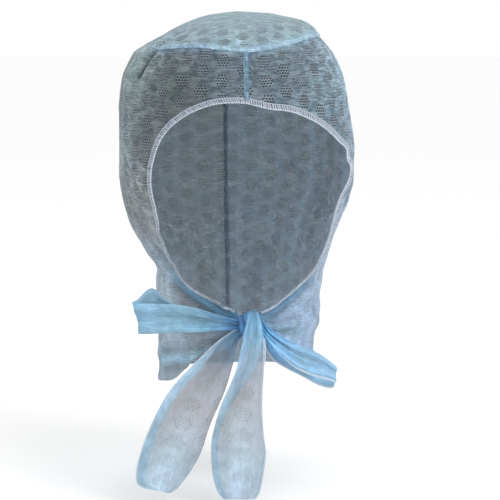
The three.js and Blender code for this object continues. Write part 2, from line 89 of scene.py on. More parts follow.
camera_data = bpy.data.cameras.new("camera")
camera = bpy.data.objects.new("camera", camera_data)
bpy.context.collection.objects.link(camera)
camera_data.sensor_width = 36
camera_data.lens = camera_data.sensor_width * VIEW_DISTANCE / VIEW_WIDTH
camera.location = VIEW_TARGET + direction(VIEW_AZIMUTH, VIEW_ELEVATION) * VIEW_DISTANCE
camera.rotation_euler = (VIEW_TARGET - camera.location).to_track_quat("-Z", "Y").to_euler()
bpy.context.scene.camera = camera
bpy.context.scene.view_settings.view_transform = "Standard"
print("lens", round(camera_data.lens), "mm")

# %% Floor, world and lamps
FLOOR_GAP = 0.003         # from the lowest solid down to the floor
FLOOR_SIZE = 40
FLOOR_WHITE = (0.97, 0.97, 0.97, 1)

bpy.ops.mesh.primitive_plane_add(size=FLOOR_SIZE, location=(0, 0, cad_low.z - FLOOR_GAP))
floor = bpy.context.object
floor.name = "floor"
floor_paint = bpy.data.materials.new("floor paint")
floor_paint.use_nodes = True
floor_paint.node_tree.nodes["Principled BSDF"].inputs["Base Color"].default_value = FLOOR_WHITE
floor_paint.node_tree.nodes["Principled BSDF"].inputs["Roughness"].default_value = 1
floor.data.materials.append(floor_paint)
floor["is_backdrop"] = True

world = bpy.data.worlds.new("studio")
world.use_nodes = True
world.node_tree.nodes["Background"].inputs["Color"].default_value = (1, 1, 1, 1)
world.node_tree.nodes["Background"].inputs["Strength"].default_value = 1.0
bpy.context.scene.world = world


def lamp(name, azimuth, elevation, distance, size, power):
    """A square soft lamp that looks at what the camera looks at."""
    data = bpy.data.lights.new(name, "AREA")
    data.shape = "SQUARE"
    data.size = size
    data.energy = power
    made = bpy.data.objects.new(name, data)
    bpy.context.collection.objects.link(made)
    made.location = VIEW_TARGET + direction(azimuth, elevation) * distance
    made.rotation_euler = (VIEW_TARGET - made.location).to_track_quat("-Z", "Y").to_euler()


lamp("key", azimuth=48, elevation=38, distance=1.6, size=0.9, power=10)
lamp("fill", azimuth=-60, elevation=15, distance=1.8, size=1.2, power=2.5)

# %% [markdown]
# ## Shader sums
# A pattern such as rows of holes is arithmetic on the cloth's own coordinates. Wired by hand that takes
# dozens of Math nodes, so a small class lets a socket take part in plain Python sums, and every sum adds
# its node. All other nodes come from one method.

# %% Sockets that can be added and multiplied
class Wire:
    """A shader socket. Sums with numbers or other wires add Math nodes."""

    def __init__(self, tree, socket=None):
        self.tree = tree
        self.socket = socket

    def node(self, kind, settings=None, values=None, output=0):
        """Adds a node, sets its settings, then fills its sockets with values or wires."""
        made = self.tree.nodes.new(kind)
        for name, value in (settings or {}).items():
            setattr(made, name, value)
        for name, value in (values or {}).items():
            if isinstance(value, Wire):
                self.tree.links.new(value.socket, made.inputs[name])
            else:
                made.inputs[name].default_value = value
        return Wire(self.tree, made.outputs[output] if made.outputs else None)

    def sum(self, operation, *values, **settings):
        return self.node("ShaderNodeMath", {"operation": operation, **settings}, dict(enumerate(values)))

    def __add__(self, other):
        return self.sum("ADD", self, other)

    def __radd__(self, other):
        return self.sum("ADD", other, self)

    def __sub__(self, other):
        return self.sum("SUBTRACT", self, other)

    def __rsub__(self, other):
        return self.sum("SUBTRACT", other, self)

    def __mul__(self, other):
        return self.sum("MULTIPLY", self, other)

    def __truediv__(self, other):
        return self.sum("DIVIDE", self, other)

    def __abs__(self):
        return self.sum("ABSOLUTE", self)

    def __round__(self):
        return self.sum("FLOOR", self + 0.5)

    def wrapped(self, length):
        """The distance to the nearest whole number of lengths, with its sign."""
        return self - round(self / length) * length

    def below(self, limit):
        return self.sum("LESS_THAN", self, limit)

    def ramp(self, start, end):
        """A soft step from 0 at start to 1 at end. End may be the smaller one."""
        return self.node("ShaderNodeMapRange", {"interpolation_type": "SMOOTHSTEP"},
                         {"Value": self, "From Min": start, "From Max": end})

    def mixed(self, first, second):
        """This wire's share of the way from the first colour to the second."""
        return self.node("ShaderNodeMix", {"data_type": "RGBA"}, {0: self, 6: first, 7: second}, output=2)

    def grain(self, stretch, detail, roughness=0.5):
        """Flat noise on these coordinates, stretched first."""
        stretched = self.node("ShaderNodeVectorMath", {"operation": "MULTIPLY"}, {0: self, 1: stretch})
        return self.node("ShaderNodeTexNoise", {"noise_dimensions": "2D"},
                         {"Vector": stretched, "Scale": 1, "Detail": detail, "Roughness": roughness})


def empty_material(name):
    """A material without nodes, and a wire that adds them."""
    material = bpy.data.materials.new(name)
    material.use_nodes = True
    material.node_tree.nodes.clear()
    return material, Wire(material.node_tree)


# %% [markdown]
# ## The cloth
# The non-woven is a thin web of fibres that all run roughly one way, so it shows streaks. Thick and thin
# places alternate, and light comes through both. Small diamond holes are punched in hexagons of nineteen,
# and the hexagons stand in staggered columns, and the holes are darkened with painted shade. Each sheet
# carries UV coordinates in metres of cloth, so one material fits all of them. What changes from place to
# place comes from four numbers on the sheet's corners: its tint, which carries painted light and shade as
# well as colour, how strongly the web shows (contrast), how clearly the holes and their painted shade show
# (cut), and where the cloth lies doubled (plies), so that no holes are seen.

# %% The pattern of holes
COLUMN_SPACING = 16.2     # millimetres between columns of hexagons
HEXAGON_PITCH = 15.2      # from one hexagon to the next in a column
HOLE_SPACING = 2.37       # from hole to hole in a row
ROW_SPACING = 2.0
HEXAGON_HALF_WIDTH = 2.25       # in holes
HEXAGON_HALF_HEIGHT = 2.5       # in rows
HOLE_HALF_WIDTH = 1.2
HOLE_HALF_HEIGHT = 0.95
HOLE_EDGE = (1.08, 0.8)   # the rim fades from cloth to hole between these, where 1 is the diamond's outline


def punched_holes(across, along):
    """The holes, and the cloth left between them in a hexagon, from cloth coordinates in millimetres."""
    column = round(across / COLUMN_SPACING)
    from_column = across - column * COLUMN_SPACING
    odd = abs(column.wrapped(2))
    from_centre = (along - odd * (HEXAGON_PITCH / 2)).wrapped(HEXAGON_PITCH)
    row = round(from_centre / ROW_SPACING)
    from_row = from_centre - row * ROW_SPACING
    shift = abs(row.wrapped(2)) * (HOLE_SPACING / 2)
    from_hole = (from_column - shift).wrapped(HOLE_SPACING)
    hole_place = abs(from_column - from_hole) + abs(row) * (HOLE_SPACING / 2)
    in_hexagon = hole_place.below(HEXAGON_HALF_WIDTH * HOLE_SPACING) * abs(row).below(HEXAGON_HALF_HEIGHT)
    diamond = abs(from_hole) / HOLE_HALF_WIDTH + abs(from_row) / HOLE_HALF_HEIGHT
    holes = diamond.ramp(*HOLE_EDGE)
    return holes * in_hexagon, (1 - holes) * in_hexagon


# %% The cloth material
THIN_WEB = (0.54, 0.62, 0.67, 1)       # these multiply a sheet's tint where the web is thin and thick
THICK_WEB = (1.52, 1.45, 1.40, 1)
PAINTED_HOLE_SHADE = (0.010, 0.018, 0.024, 1)    # painted shade in the holes, where the inside of the hood is dark
LATTICE = (0.38, 0.44, 0.48, 1)        # the web between the holes of a hexagon catches the light
LATTICE_SHARE = 0.34
STREAKS = [   # waves across and along a metre, octaves, where the streak starts and is full, its weight
    (110, 420, 4, 0.36, 0.66, 0.34),   # the web
    (90, 130, 2, 0.36, 0.64, 0.32),    # clouds in it
    (230, 800, 3, 0.36, 0.66, 0.3),    # fibres
    (50, 640, 1, 0.62, 0.74, 0.35),    # single strands
]
WORN = (35, 45, 1, 0.32, 0.55, 0.3)    # the same numbers for places where the holes have closed a little
WANDER = 0.0022                        # metres that the streaks and holes stray from straight lines
RELIEF = 0.0006                        # metres from the bottom of a hole to the top of the web


def cloth_material(name, *, cover, hole_depth, hole_shade=1.0, patchy=0.3, lit_through=0.15,
                   along_v=False):
    """cover is how much of the view the web hides, patchy how much that differs between thick and thin
    places, hole_depth how open its holes are, hole_shade how much the painted shade darkens them, lit_through
    how much light comes from behind, and along_v says that the fibres run along the sheet's second coordinate."""
    material, start = empty_material(name)
    place = start.node("ShaderNodeUVMap", {"uv_map": "cloth"})
    wander = start.node("ShaderNodeTexNoise", {"noise_dimensions": "2D"},
                        {"Vector": place, "Scale": 55, "Detail": 1}, output=1)
    bent = start.node("ShaderNodeVectorMath", {"operation": "MULTIPLY_ADD"},
                      {0: wander, 1: (WANDER, WANDER, 0), 2: place})
    split = start.node("ShaderNodeSeparateXYZ", None, {"Vector": bent})
    across = Wire(start.tree, split.socket.node.outputs["X"]) / MM
    along = Wire(start.tree, split.socket.node.outputs["Y"]) / MM
    tint = start.node("ShaderNodeAttribute", {"attribute_name": "tint"})
    contrast = start.node("ShaderNodeAttribute", {"attribute_name": "contrast"}, output=2)
    cut = start.node("ShaderNodeAttribute", {"attribute_name": "cut"}, output=2)
    plies = start.node("ShaderNodeAttribute", {"attribute_name": "plies"}, output=2)

    def streaks(u_scale, v_scale, detail, thin, thick, weight):
        stretch = (v_scale, u_scale, 1) if along_v else (u_scale, v_scale, 1)
        return bent.grain(stretch, detail, roughness=0.6).ramp(thin, thick) * weight

    density = sum(streaks(*layer) for layer in STREAKS)
    clear_cut = (streaks(*WORN) + (1 - WORN[-1])) * cut * (1 - plies)
    holes, lattice = punched_holes(across, along)
    holes = holes * clear_cut
    lattice = lattice * clear_cut
    shown_density = (density - 0.5) * contrast + 0.5
    colour = start.node("ShaderNodeMix", {"data_type": "RGBA", "blend_type": "MULTIPLY"},
                        {0: 1.0, 6: tint, 7: shown_density.mixed(THIN_WEB, THICK_WEB)}, output=2)
    coloured = (lattice * LATTICE_SHARE).mixed(colour, LATTICE)
    coloured = (holes * hole_shade).mixed(coloured, PAINTED_HOLE_SHADE)
    relief = shown_density * 0.5 - holes * hole_shade
    bump = start.node("ShaderNodeBump", None, {"Height": relief, "Strength": 0.35, "Distance": RELIEF})
    front = start.node("ShaderNodeBsdfPrincipled", None, {"Base Color": coloured, "Roughness": 0.85,
                                                          "Normal": bump, "Sheen Weight": 0.15})
    behind = start.node("ShaderNodeBsdfTranslucent", None, {"Color": coloured, "Normal": bump})
    cloth = start.node("ShaderNodeMixShader", None, {0: lit_through, 1: front, 2: behind})
    clear = start.node("ShaderNodeBsdfTransparent")
    open_web = ((0.5 - density) * patchy + (1 - cover)) * (1 - plies * 0.6)
    see_through = open_web * (1 - holes) + holes * hole_depth
    shown = start.node("ShaderNodeMixShader", None,
                       {0: see_through.sum("MINIMUM", see_through, 1, use_clamp=True), 1: cloth, 2: clear})
    start.node("ShaderNodeOutputMaterial", None, {"Surface": shown})
    return material


# %% [markdown]
# ## The form that the hood keeps
# A worn hood is close to a head's shape, which level cuts describe well: each cut has a half width to
# either side, a depth in front and behind, and a roundness. A place on the cloth is a bearing round the
# head and a height. The numbers are nearly those of the solid model, so the fine cloth lies in its box.

# %% Level cuts and seams, in millimetres and degrees
SECTIONS = [   # height, half width right and left, depth in front and behind, roundness in front and behind
    (-6, 52, 50, 70, 74, 2.1, 2.1),
    (-13, 62, 59, 78, 83, 2.1, 2.1),
    (-20, 70, 66, 84, 90, 2.1, 2.1),
    (-32, 79.5, 75, 90, 96, 2.1, 2.1),
    (-50, 87.5, 82.5, 95, 101, 2.1, 2.1),
    (-76, 90.3, 87, 98, 105, 2.1, 2.1),
    (-100, 90.4, 90.4, 97, 107, 2.1, 2.1),
    (-122, 89.5, 90.4, 94, 107, 2.1, 2.1),
    (-140, 86.7, 86.8, 91, 105, 2, 2.1),
    (-160, 81, 78.5, 90, 101, 1.9, 2),
    (-180, 70, 71.5, 91, 96, 1.7, 2),
    (-197, 62, 68, 93, 91, 1.5, 2),
    (-220, 61.6, 65.2, 93, 88, 1.3, 2),
    (-242, 60.6, 62.5, 92, 87, 1.3, 2),
    (-262, 59.8, 60.8, 90, 89, 1.3, 2),
    (-290, 61, 61.5, 88, 93, 1.4, 2),
]
CROWN_SEAM = [   # bearing, height
    (-180, -30), (-120, -30), (-58, -26), (-25, -24), (0, -27), (14, -25), (34, -20.5), (55, -17),
    (92, -15.5), (135, -21), (180, -30),
]
HEM = [
    (-180, -286), (-94, -281.5), (0, -280), (95, -280), (180, -286),
]
SIDES = {   # the way round, the bearing where the hem starts, and the front outline as bearing and height
    "right": {
        "turn": -1,
        "hem_start": -95,
        "face": [
            (0, -62.8), (-10.2, -62.9), (-17.1, -65), (-29.9, -74.1), (-40.5, -88.3),
            (-47.4, -109.6), (-49.2, -129.6), (-49.3, -153.9), (-53.7, -182.9), (-54, -191.7),
            (-47.5, -199), (-29.7, -209.3), (-15, -214.8),
        ],
        "throat": [
            (-14.5, -227), (-26, -237.4), (-48.3, -257.9), (-62.4, -274), (-73.6, -278.3),
        ],
    },
    "left": {
        "turn": 1,
        "hem_start": 95,
        "face": [
            (0, -62.8), (11.4, -67.1), (20.1, -68.7), (35.3, -76.9), (50.8, -91.4), (56, -98.2),
            (56.2, -106.6), (60.2, -115), (55.5, -127), (56, -140.5), (60.3, -156.7), (63.6, -174),
            (56.3, -190.4), (42.1, -202.6), (26.8, -213), (17, -216.6),
        ],
        "throat": [
            (17, -231), (33.1, -245.4), (43.8, -254.1), (60.3, -266.3), (75.5, -274.1),
        ],
    },
}
POINTED_DEPTH = 0.35      # how far a pointed cut also narrows in depth, as a share
FRONT_SEAM = 0            # bearings of the two upright seams
BACK_SEAM = 180
CROWN_TOP = 1.2           # the solid crown's outside, above the origin


# %% Smooth curves and steps
CURVE_FINENESS = 40       # short steps for each point that a curve goes through


def bell(distance, reach, power=2):
    """1 at a distance of 0, and less away from it: about a third at the reach."""
    return np.exp(-((distance / reach) ** power))


def step(value, start, over):
    """0 up to start, then evenly up to 1 over a stretch. With a stretch below 0 it rises the other way."""
    return np.clip((value - start) / over, 0, 1)


def cubic(t, width, start, end, leaving, arriving):
    """The share t of the way from start to end, with the slopes that the curve has there."""
    return (start + (end - start) * t * t * (3 - 2 * t)
            + width * (leaving * t * (1 - t) ** 2 + arriving * t * t * (t - 1)))


def smooth(table, column):
    """A curve through one column of a table that never swings past its values."""
    x, y = np.array(table, float)[:, [0, column]].T
    if x[0] > x[-1]:
        x, y = x[::-1], y[::-1]
    slope = np.diff(y) / np.diff(x)
    product = slope[:-1] * slope[1:]
    total = np.where(product > 0, slope[:-1] + slope[1:], 1)
    tangent = np.concatenate([slope[:1], np.where(product > 0, 2 * product / total, 0), slope[-1:]])

    def curve(at):
        inside = np.clip(at, x[0], x[-1])
        i = np.clip(np.searchsorted(x, inside, side="right") - 1, 0, len(x) - 2)
        width = x[i + 1] - x[i]
        return cubic((inside - x[i]) / width, width, y[i], y[i + 1], tangent[i], tangent[i + 1])

    return curve


half_right, half_left, depth_front, depth_back, round_front, round_back = (
    smooth(SECTIONS, column) for column in range(1, 7))
crown_seam_height = smooth(CROWN_SEAM, 1)
hem_height = smooth(HEM, 1)


def line_length(route):
    return np.concatenate([[0], np.linalg.norm(np.diff(route, axis=0), axis=1).cumsum()])


def sampled(values, length, at):
    """Values known at some lengths along a line, wanted at others."""
    return np.stack([np.interp(at, length, column) for column in values.T], axis=-1)


def along_points(points, count):
    """Evenly spaced points on a smooth curve through a list of points."""
    knots = np.asarray(points, float)
    steps = np.linalg.norm(np.diff(knots, axis=0), axis=1)
    at = np.concatenate([[0], np.cumsum(np.sqrt(steps))])
    slope = np.diff(knots, axis=0) / np.diff(at)[:, None]
    wide = np.diff(at)[:, None]
    inner = (slope[:-1] * wide[1:] + slope[1:] * wide[:-1]) / (wide[:-1] + wide[1:])
    tangent = np.concatenate([2 * slope[:1] - inner[:1], inner, 2 * slope[-1:] - inner[-1:]])
    fine = np.linspace(0, at[-1], CURVE_FINENESS * len(knots))
    i = np.clip(np.searchsorted(at, fine, side="right") - 1, 0, len(knots) - 2)
    width = (at[i + 1] - at[i])[:, None]
    curve = cubic((fine - at[i])[:, None] / width, width, knots[i], knots[i + 1], tangent[i], tangent[i + 1])
    length = line_length(curve)
    return sampled(curve, length, np.linspace(0, length[-1], count + 1))


# %% The smooth skin
def skin(bearing, height):
    """Points of the outside, before its folds."""
    turn = np.radians(bearing)
    side, fore = np.sin(turn), np.cos(turn)
    width = np.where(side < 0, half_right(height), half_left(height))
    depth = np.where(fore > 0, depth_front(height), depth_back(height))
    sharp = 2 / np.where(fore > 0, round_front(height), round_back(height))
    straight = np.where(sharp > 1, 1 + (sharp - 1) * POINTED_DEPTH, sharp)
    x = width * np.sign(side) * np.abs(side) ** sharp
    y = -depth * np.sign(fore) * np.abs(fore) ** straight
    return np.stack(np.broadcast_arrays(x, y, height), axis=-1)


def skin_slopes(bearing, height):
    """How the skin moves for one degree round and for one millimetre down."""
    round_it = skin(bearing + 0.5, height) - skin(bearing - 0.5, height)
    down = skin(bearing, height - 0.5) - skin(bearing, height + 0.5)
    return round_it, down


def unit(vectors):
    return vectors / np.maximum(np.linalg.norm(vectors, axis=-1, keepdims=True), 1e-9)


def skin_normal(bearing, height):
    round_it, down = skin_slopes(bearing, height)
    return unit(np.cross(down, round_it))


# %% [markdown]
# ## Folds, gathers and crumple
# Large folds run from one place on the skin to another, each with a reach and a height, and they are
# nearly the same as in the solids. Smaller wrinkles are added here. Round the knot the cloth is gathered
# into ridges that all point at it, and a fine crumple of noise keeps the light from lying evenly anywhere.

# %% Folds
FOLDS = [   # from bearing and height, to bearing and height, reach to either side, how far it stands out
    (-53, -20, -60, -46, 3.2, -1.8),
    (-64, -22, -72, -50, 9, 2),
    (58, -106, 57, -124, 12, 4),
    (-58, -192, -170, -197, 7, -1.4),
    (66, -196, 170, -197, 7, -1),
    (-20, -219, -70, -236, 6, 1.6),
    (-22, -229, -76, -268, 5, 1.6),
    (-30, -228, -72, -252, 5, -1.4),
    (24, -222, 84, -214, 6, -1.6),
    (24, -224, 84, -236, 6, 1.6),
    (26, -230, 78, -256, 6, -1.6),
    (-84, -70, -78, -165, 10, -1.6),
    (84, -60, 92, -150, 10, -1.4),
    (148, -120, 150, -190, 9, 2),
    (-150, -125, -146, -190, 9, 2),
    (180, -130, 180, -195, 9, -1.5),
    (-125, -215, -125, -284, 9, 2),
    (130, -215, 132, -284, 9, 2),
]
WRINKLES = [   # the same, for folds that the solids leave out
    (-68, -101, -55, -127, 2.6, 1.2),
    (-62, -128, -44, -178, 3, 1.0),
    (-70, -140, -56, -186, 3.5, -0.9),
    (-84, -150, -60, -205, 4, 1.1),
    (-100, -120, -96, -190, 5, -1.2),
    (-112, -60, -110, -170, 6, 1.2),
    (-128, -70, -126, -180, 6, -1.0),
    (-40, -30, -52, -70, 5, -0.9),
    (-30, -40, -44, -62, 4, 0.7),
    (-14, -30, -34, -56, 4, -0.7),
    (64, -60, 72, -120, 4, 0.9),
    (72, -110, 66, -170, 4, -1.0),
    (60, -132, 66, -168, 3, 0.8),
    (100, -70, 104, -170, 6, 1.2),
    (116, -60, 118, -180, 6, -1.2),
    (132, -80, 134, -190, 6, 1.0),
    (24, -34, 40, -64, 5, 0.7),
    (10, -36, 22, -58, 4, -0.6),
    (-66, -242, -92, -262, 3.5, 1.0),
    (-70, -256, -94, -274, 3.5, -0.9),
    (70, -205, 92, -232, 4, 0.9),
    (62, -216, 96, -262, 5, -1.0),
    (100, -205, 104, -276, 6, 1.3),
    (-104, -205, -102, -276, 6, -1.2),
    (160, -205, 162, -280, 7, -1.6),
    (-160, -205, -158, -280, 7, -1.6),
    (-52.5, -20, -60, -46, 1.5, -3.2),
    (-86, -18, -92, -100, 16, -1.9),
    (84, -20, 90, -110, 14, -1.1),
    (-57, -202, -32, -219, 2.6, -1.3),
    (-32, -219, -15, -224, 2.6, -1.2),
    (59, -200, 32, -222, 2.6, -1.3),
    (32, -222, 16, -227, 2.6, -1.2),
    (-8, -228, -22, -243, 3, 1.6),
    (-22, -243, -44, -254, 3, 1.8),
    (-44, -254, -78, -262, 3.2, 1.6),
    (-26, -238, -48, -248, 2.4, -0.8),
    (-48, -248, -80, -257, 2.4, -0.9),
    (-34, -257, -70, -268, 2.4, -1.2),
]


def distance_to_line(points, line):
    """The distance of every point to a line of a few straight steps."""
    nearest = np.full(points.shape[:-1], np.inf)
    for start, end in zip(line[:-1], line[1:]):
        run = end - start
        share = np.clip(((points - start) @ run) / (run @ run), 0, 1)
        gap = np.linalg.norm(points - (start + share[..., None] * run), axis=-1)
        nearest = np.minimum(nearest, gap)
    return nearest


def near_line(points, line, reach):
    """1 on a line and less beside it."""
    return bell(distance_to_line(points, line), reach)


def fold_height(points, folds):
    """How far all the folds together stand out at each point. Each is followed in ten straight steps."""
    share = np.linspace(0, 1, 11)
    total = np.zeros(points.shape[:-1])
    for b0, h0, b1, h1, reach, stand in folds:
        line = skin(b0 + (b1 - b0) * share, h0 + (h1 - h0) * share)
        total += stand * near_line(points, line, reach)
    return total


# %% Gathers at the knot
KNOT = np.array([1.8, -93.0, -222.0])
GATHER_COUNT = 30         # ridges in a full turn round the knot
GATHER_STAND = 1.1
GATHER_NEAR = 9           # they start this far from the knot's middle,
GATHER_FULL = 24          # stand highest here
GATHER_FAR = 80           # and have died away here
GATHER_BACK = 0.45        # a millimetre towards the back counts as so many sideways


def gathers(points):
    """Ridges that point at the knot, highest a little way from it. They sway, and the sides differ."""
    away = points - KNOT
    sideways = np.abs(away[..., 0]) + GATHER_BACK * np.maximum(away[..., 1], 0)
    distance = np.hypot(sideways, away[..., 2])
    angle = np.arctan2(away[..., 2], sideways)
    rise = step(distance, GATHER_NEAR, GATHER_FULL - GATHER_NEAR)
    fall = step(distance, GATHER_FAR, GATHER_FULL - GATHER_FAR) ** 1.6
    wave = np.sin(GATHER_COUNT * angle + 1.5 * np.sin(distance / 13) + 0.9 * np.sign(away[..., 0]))
    finer = 0.4 * np.sin(2.3 * GATHER_COUNT * angle + 2)
    return GATHER_STAND * rise * fall * (wave + finer)


# %% Crumple
CRUMPLES = [   # size in millimetres, how far it stands out
    (26, 0.55),
    (11, 0.3),
    (5, 0.12),
]


def crumple(points):
    """Ridged noise: sharp little crests, where the noise is 0, between shallow hollows."""
    flat = points.reshape(-1, 3)
    total = np.zeros(len(flat))
    for size, stand in CRUMPLES:
        values = np.array([noise.noise(Vector(p / size)) for p in flat])
        total += stand * (0.5 - 2.2 * np.abs(values))
    return total.reshape(points.shape[:-1])


def small_relief(points):
    return fold_height(points, WRINKLES) + gathers(points) + crumple(points)


# %% The worn cloth
CLOTH_LIFT = -0.4         # the cloth's outside, out from the solids'


def folded(bearing, height, lift):
    """Points on the worn cloth or a little off it, with the directions that look out of it."""
    smooth_points = skin(bearing, height)
    normal = skin_normal(bearing, height)
    stand = fold_height(smooth_points, FOLDS) + small_relief(smooth_points) + lift
    return smooth_points + normal * np.asarray(stand)[..., None], normal


# %% [markdown]
# ## From a grid of points to a sheet of cloth
# A sheet starts as a grid of corners with a UV coordinate for each, all in millimetres. The mesh is made
# from the grid in metres, then the Solidify modifier gives it the thickness of the real non-woven.

# %% Sheets
CLOTH_THICKNESS = 0.35


def add_numbers(mesh, key, values):
    """One number or one colour for every corner."""
    if np.ndim(values) == 1:
        mesh.attributes.new(key, "FLOAT", "POINT").data.foreach_set("value", values)
    else:
        opaque = np.concatenate([values, np.ones((len(values), 1))], axis=1)
        mesh.attributes.new(key, "FLOAT_COLOR", "POINT").data.foreach_set("color", opaque.ravel())


def finish_mesh(name, corners, faces, uvs, numbers=None):
    """A mesh object in metres, with a cloth UV map and numbers or colours on its corners, shaded smooth."""
    mesh = bpy.data.meshes.new(name)
    mesh.from_pydata((corners * MM).tolist(), [], faces)
    layer = mesh.uv_layers.new(name="cloth")
    of_loop = np.empty(len(mesh.loops), int)
    mesh.loops.foreach_get("vertex_index", of_loop)
    layer.data.foreach_set("uv", (uvs * MM)[of_loop].ravel())
    for key, values in (numbers or {}).items():
        add_numbers(mesh, key, values)
    mesh.shade_smooth()
    made = bpy.data.objects.new(name, mesh)
    bpy.context.collection.objects.link(made)
    return made


def grid_faces(rows, columns, ring=False):
    """Corner numbers of the squares of a grid, with its columns closed into a ring if wanted."""
    row, column = np.mgrid[0:rows - 1, 0:columns if ring else columns - 1]
    a = row * columns + column
    b = row * columns + (column + 1) % columns
    return np.stack([a, b, b + columns, a + columns], axis=-1).reshape(-1, 4).tolist()


def select_only(piece):
    bpy.ops.object.select_all(action="DESELECT")
    bpy.context.view_layer.objects.active = piece
    piece.select_set(True)


def thicken(piece):
    """Gives a sheet the thickness of the cloth, on its inner side."""
    modifier = piece.modifiers.new("thickness", "SOLIDIFY")
    modifier.thickness = CLOTH_THICKNESS * MM
    modifier.offset = -1
    modifier.use_even_offset = False
    select_only(piece)
    bpy.ops.object.modifier_apply(modifier=modifier.name)


def face_outwards(piece):
    """Turns the faces of a closed piece to look out of it."""
    select_only(piece)
    bpy.ops.object.mode_set(mode="EDIT")
    bpy.ops.mesh.select_all(action="SELECT")
    bpy.ops.mesh.normals_make_consistent(inside=False)
    bpy.ops.object.mode_set(mode="OBJECT")


def triangles(piece):
    return sum(len(face.vertices) - 2 for face in piece.data.polygons)


def cloth_sheet(name, grid, uvs, numbers, ring=False):
    """A sheet from a grid of points in millimetres. A ring is closed by one more corner in its middle."""
    rows, columns = grid.shape[:2]
    faces = grid_faces(rows, columns, ring)
    last = list(range((rows - 1) * columns, rows * columns))
    if ring:
        faces += [[a, b, rows * columns] for a, b in zip(last, last[1:] + last[:1])]

    def in_one_row(values):
        depth = np.shape(values)[2:]
        flat = np.broadcast_to(values, (rows, columns, *depth)).reshape(-1, *depth)
        return np.concatenate([flat, flat[last].mean(0, keepdims=True)]) if ring else flat

    piece = finish_mesh(name, in_one_row(grid), faces, in_one_row(uvs),
                        {key: in_one_row(values) for key, values in numbers.items()})
    thicken(piece)
    print(name, triangles(piece), "triangles")
    return piece


# %% Tints
MOTTLE_SIZE = 22          # millimetres between places where the dye looks a little different
MOTTLE_AMOUNT = 0.045
PAINTED_CREST_LIGHT = 0.2         # painted light and shade: so much lighter for each millimetre that the cloth stands out, darker where it sinks


def mottled_and_shaded(points, tint, stand, painted_crest_light=PAINTED_CREST_LIGHT):
    """A tint for each point: mottled at random, with painted light on crests and painted shade in hollows."""
    flat = points.reshape(-1, 3)
    wander = np.array([noise.noise_vector(Vector(p / MOTTLE_SIZE)) for p in flat]).reshape(points.shape)
    light = 1 + painted_crest_light * np.clip(stand, -2, 2)
    return np.clip(tint * (1 + MOTTLE_AMOUNT * wander) * light[..., None], 0, 1)


def toward(tint, other, share):
    """The tint moved towards another by a share that differs from place to place."""
    return np.asarray(tint) + (np.asarray(other) - tint) * np.clip(share, 0, 1)[..., None]


# %% [markdown]
# ## The side panels
# Each panel is one piece of cloth from the forehead seam to the back seam. Its front outline goes down the
# forehead, round the face, past the knot and back under the throat. The rows of the grid run from that
# outline round the head to the back, so the edges are exact and the cloth has no steps.

# %% Outlines
FOREHEAD_ROWS = 26
FACE_ROWS = 118
KNOT_ROWS = 6
THROAT_ROWS = 54
PANEL_COLUMNS = 200
COLUMN_SPREAD = 1.15      # 1 spaces them evenly, more draws them together in front
TUCK = 3.2                # degrees of bearing that the edge reaches in under the knot
EDGE_PAST_THREAD = 1.0    # the cut edge reaches this far past the middle of the thread, towards the face
UV_RADIUS = 94            # millimetres of cloth for each radian of bearing


def cloth_length(height):
    """Millimetres of cloth from the top of the head down to a height, at the side."""
    heights = np.linspace(-6, -300, 295)
    widths = half_left(heights)
    steps = np.hypot(np.diff(heights), np.diff(widths))
    return np.interp(-height, -heights, np.concatenate([[0], np.cumsum(steps)]))


def moved_aside(places, distance):
    """Places beside a line, moved over the skin to the right of the way it runs."""
    bearing, height = places.T
    points = skin(bearing, height)
    run = np.gradient(points, axis=0)
    away = unit(np.cross(run, skin_normal(bearing, height)))
    round_it, down = skin_slopes(bearing, height)
    turn = (away * round_it).sum(1) / (round_it ** 2).sum(1)
    drop = (away * down).sum(1) / (down ** 2).sum(1)
    return np.stack([bearing + turn * distance, height - drop * distance], axis=1)


def face_line(side, count):
    return along_points(SIDES[side]["face"], count)


def front_outline(side):
    """Bearings and heights of a panel's front edge, from the crown seam to the corner of the hem."""
    turn = SIDES[side]["turn"]
    face = moved_aside(face_line(side, FACE_ROWS), turn * EDGE_PAST_THREAD)
    face[0, 0] = 0
    forehead = np.linspace((0, crown_seam_height(FRONT_SEAM)), face[0], FOREHEAD_ROWS, endpoint=False)
    hem_start = SIDES[side]["hem_start"]
    throat = along_points([*SIDES[side]["throat"], (hem_start, hem_height(hem_start))], THROAT_ROWS)
    beside_knot = np.linspace(face[-1], throat[0], KNOT_ROWS + 2)[1:-1]
    beside_knot[:, 0] -= turn * TUCK * np.sin(np.linspace(0, math.pi, KNOT_ROWS + 2)[1:-1])
    return np.concatenate([forehead, face, beside_knot, throat])


def panel_places(side):
    """Bearings and heights of a panel's grid, and each row's place between the seam and the hem."""
    outline = front_outline(side)
    across = np.linspace(0, 1, PANEL_COLUMNS + 1)[None, :] ** COLUMN_SPREAD
    bearing = outline[:, :1] + (SIDES[side]["turn"] * BACK_SEAM - outline[:, :1]) * across
    top, bottom = crown_seam_height(bearing), hem_height(bearing)
    start_top, start_bottom = crown_seam_height(outline[:, 0]), hem_height(outline[:, 0])
    front_share = step(outline[:, 1], start_top, start_bottom - start_top)[:, None]
    back_share = np.linspace(0, 1, len(outline))[:, None]
    blend = across * across * (3 - 2 * across)
    share = front_share + (back_share - front_share) * blend
    return bearing, top + (bottom - top) * share
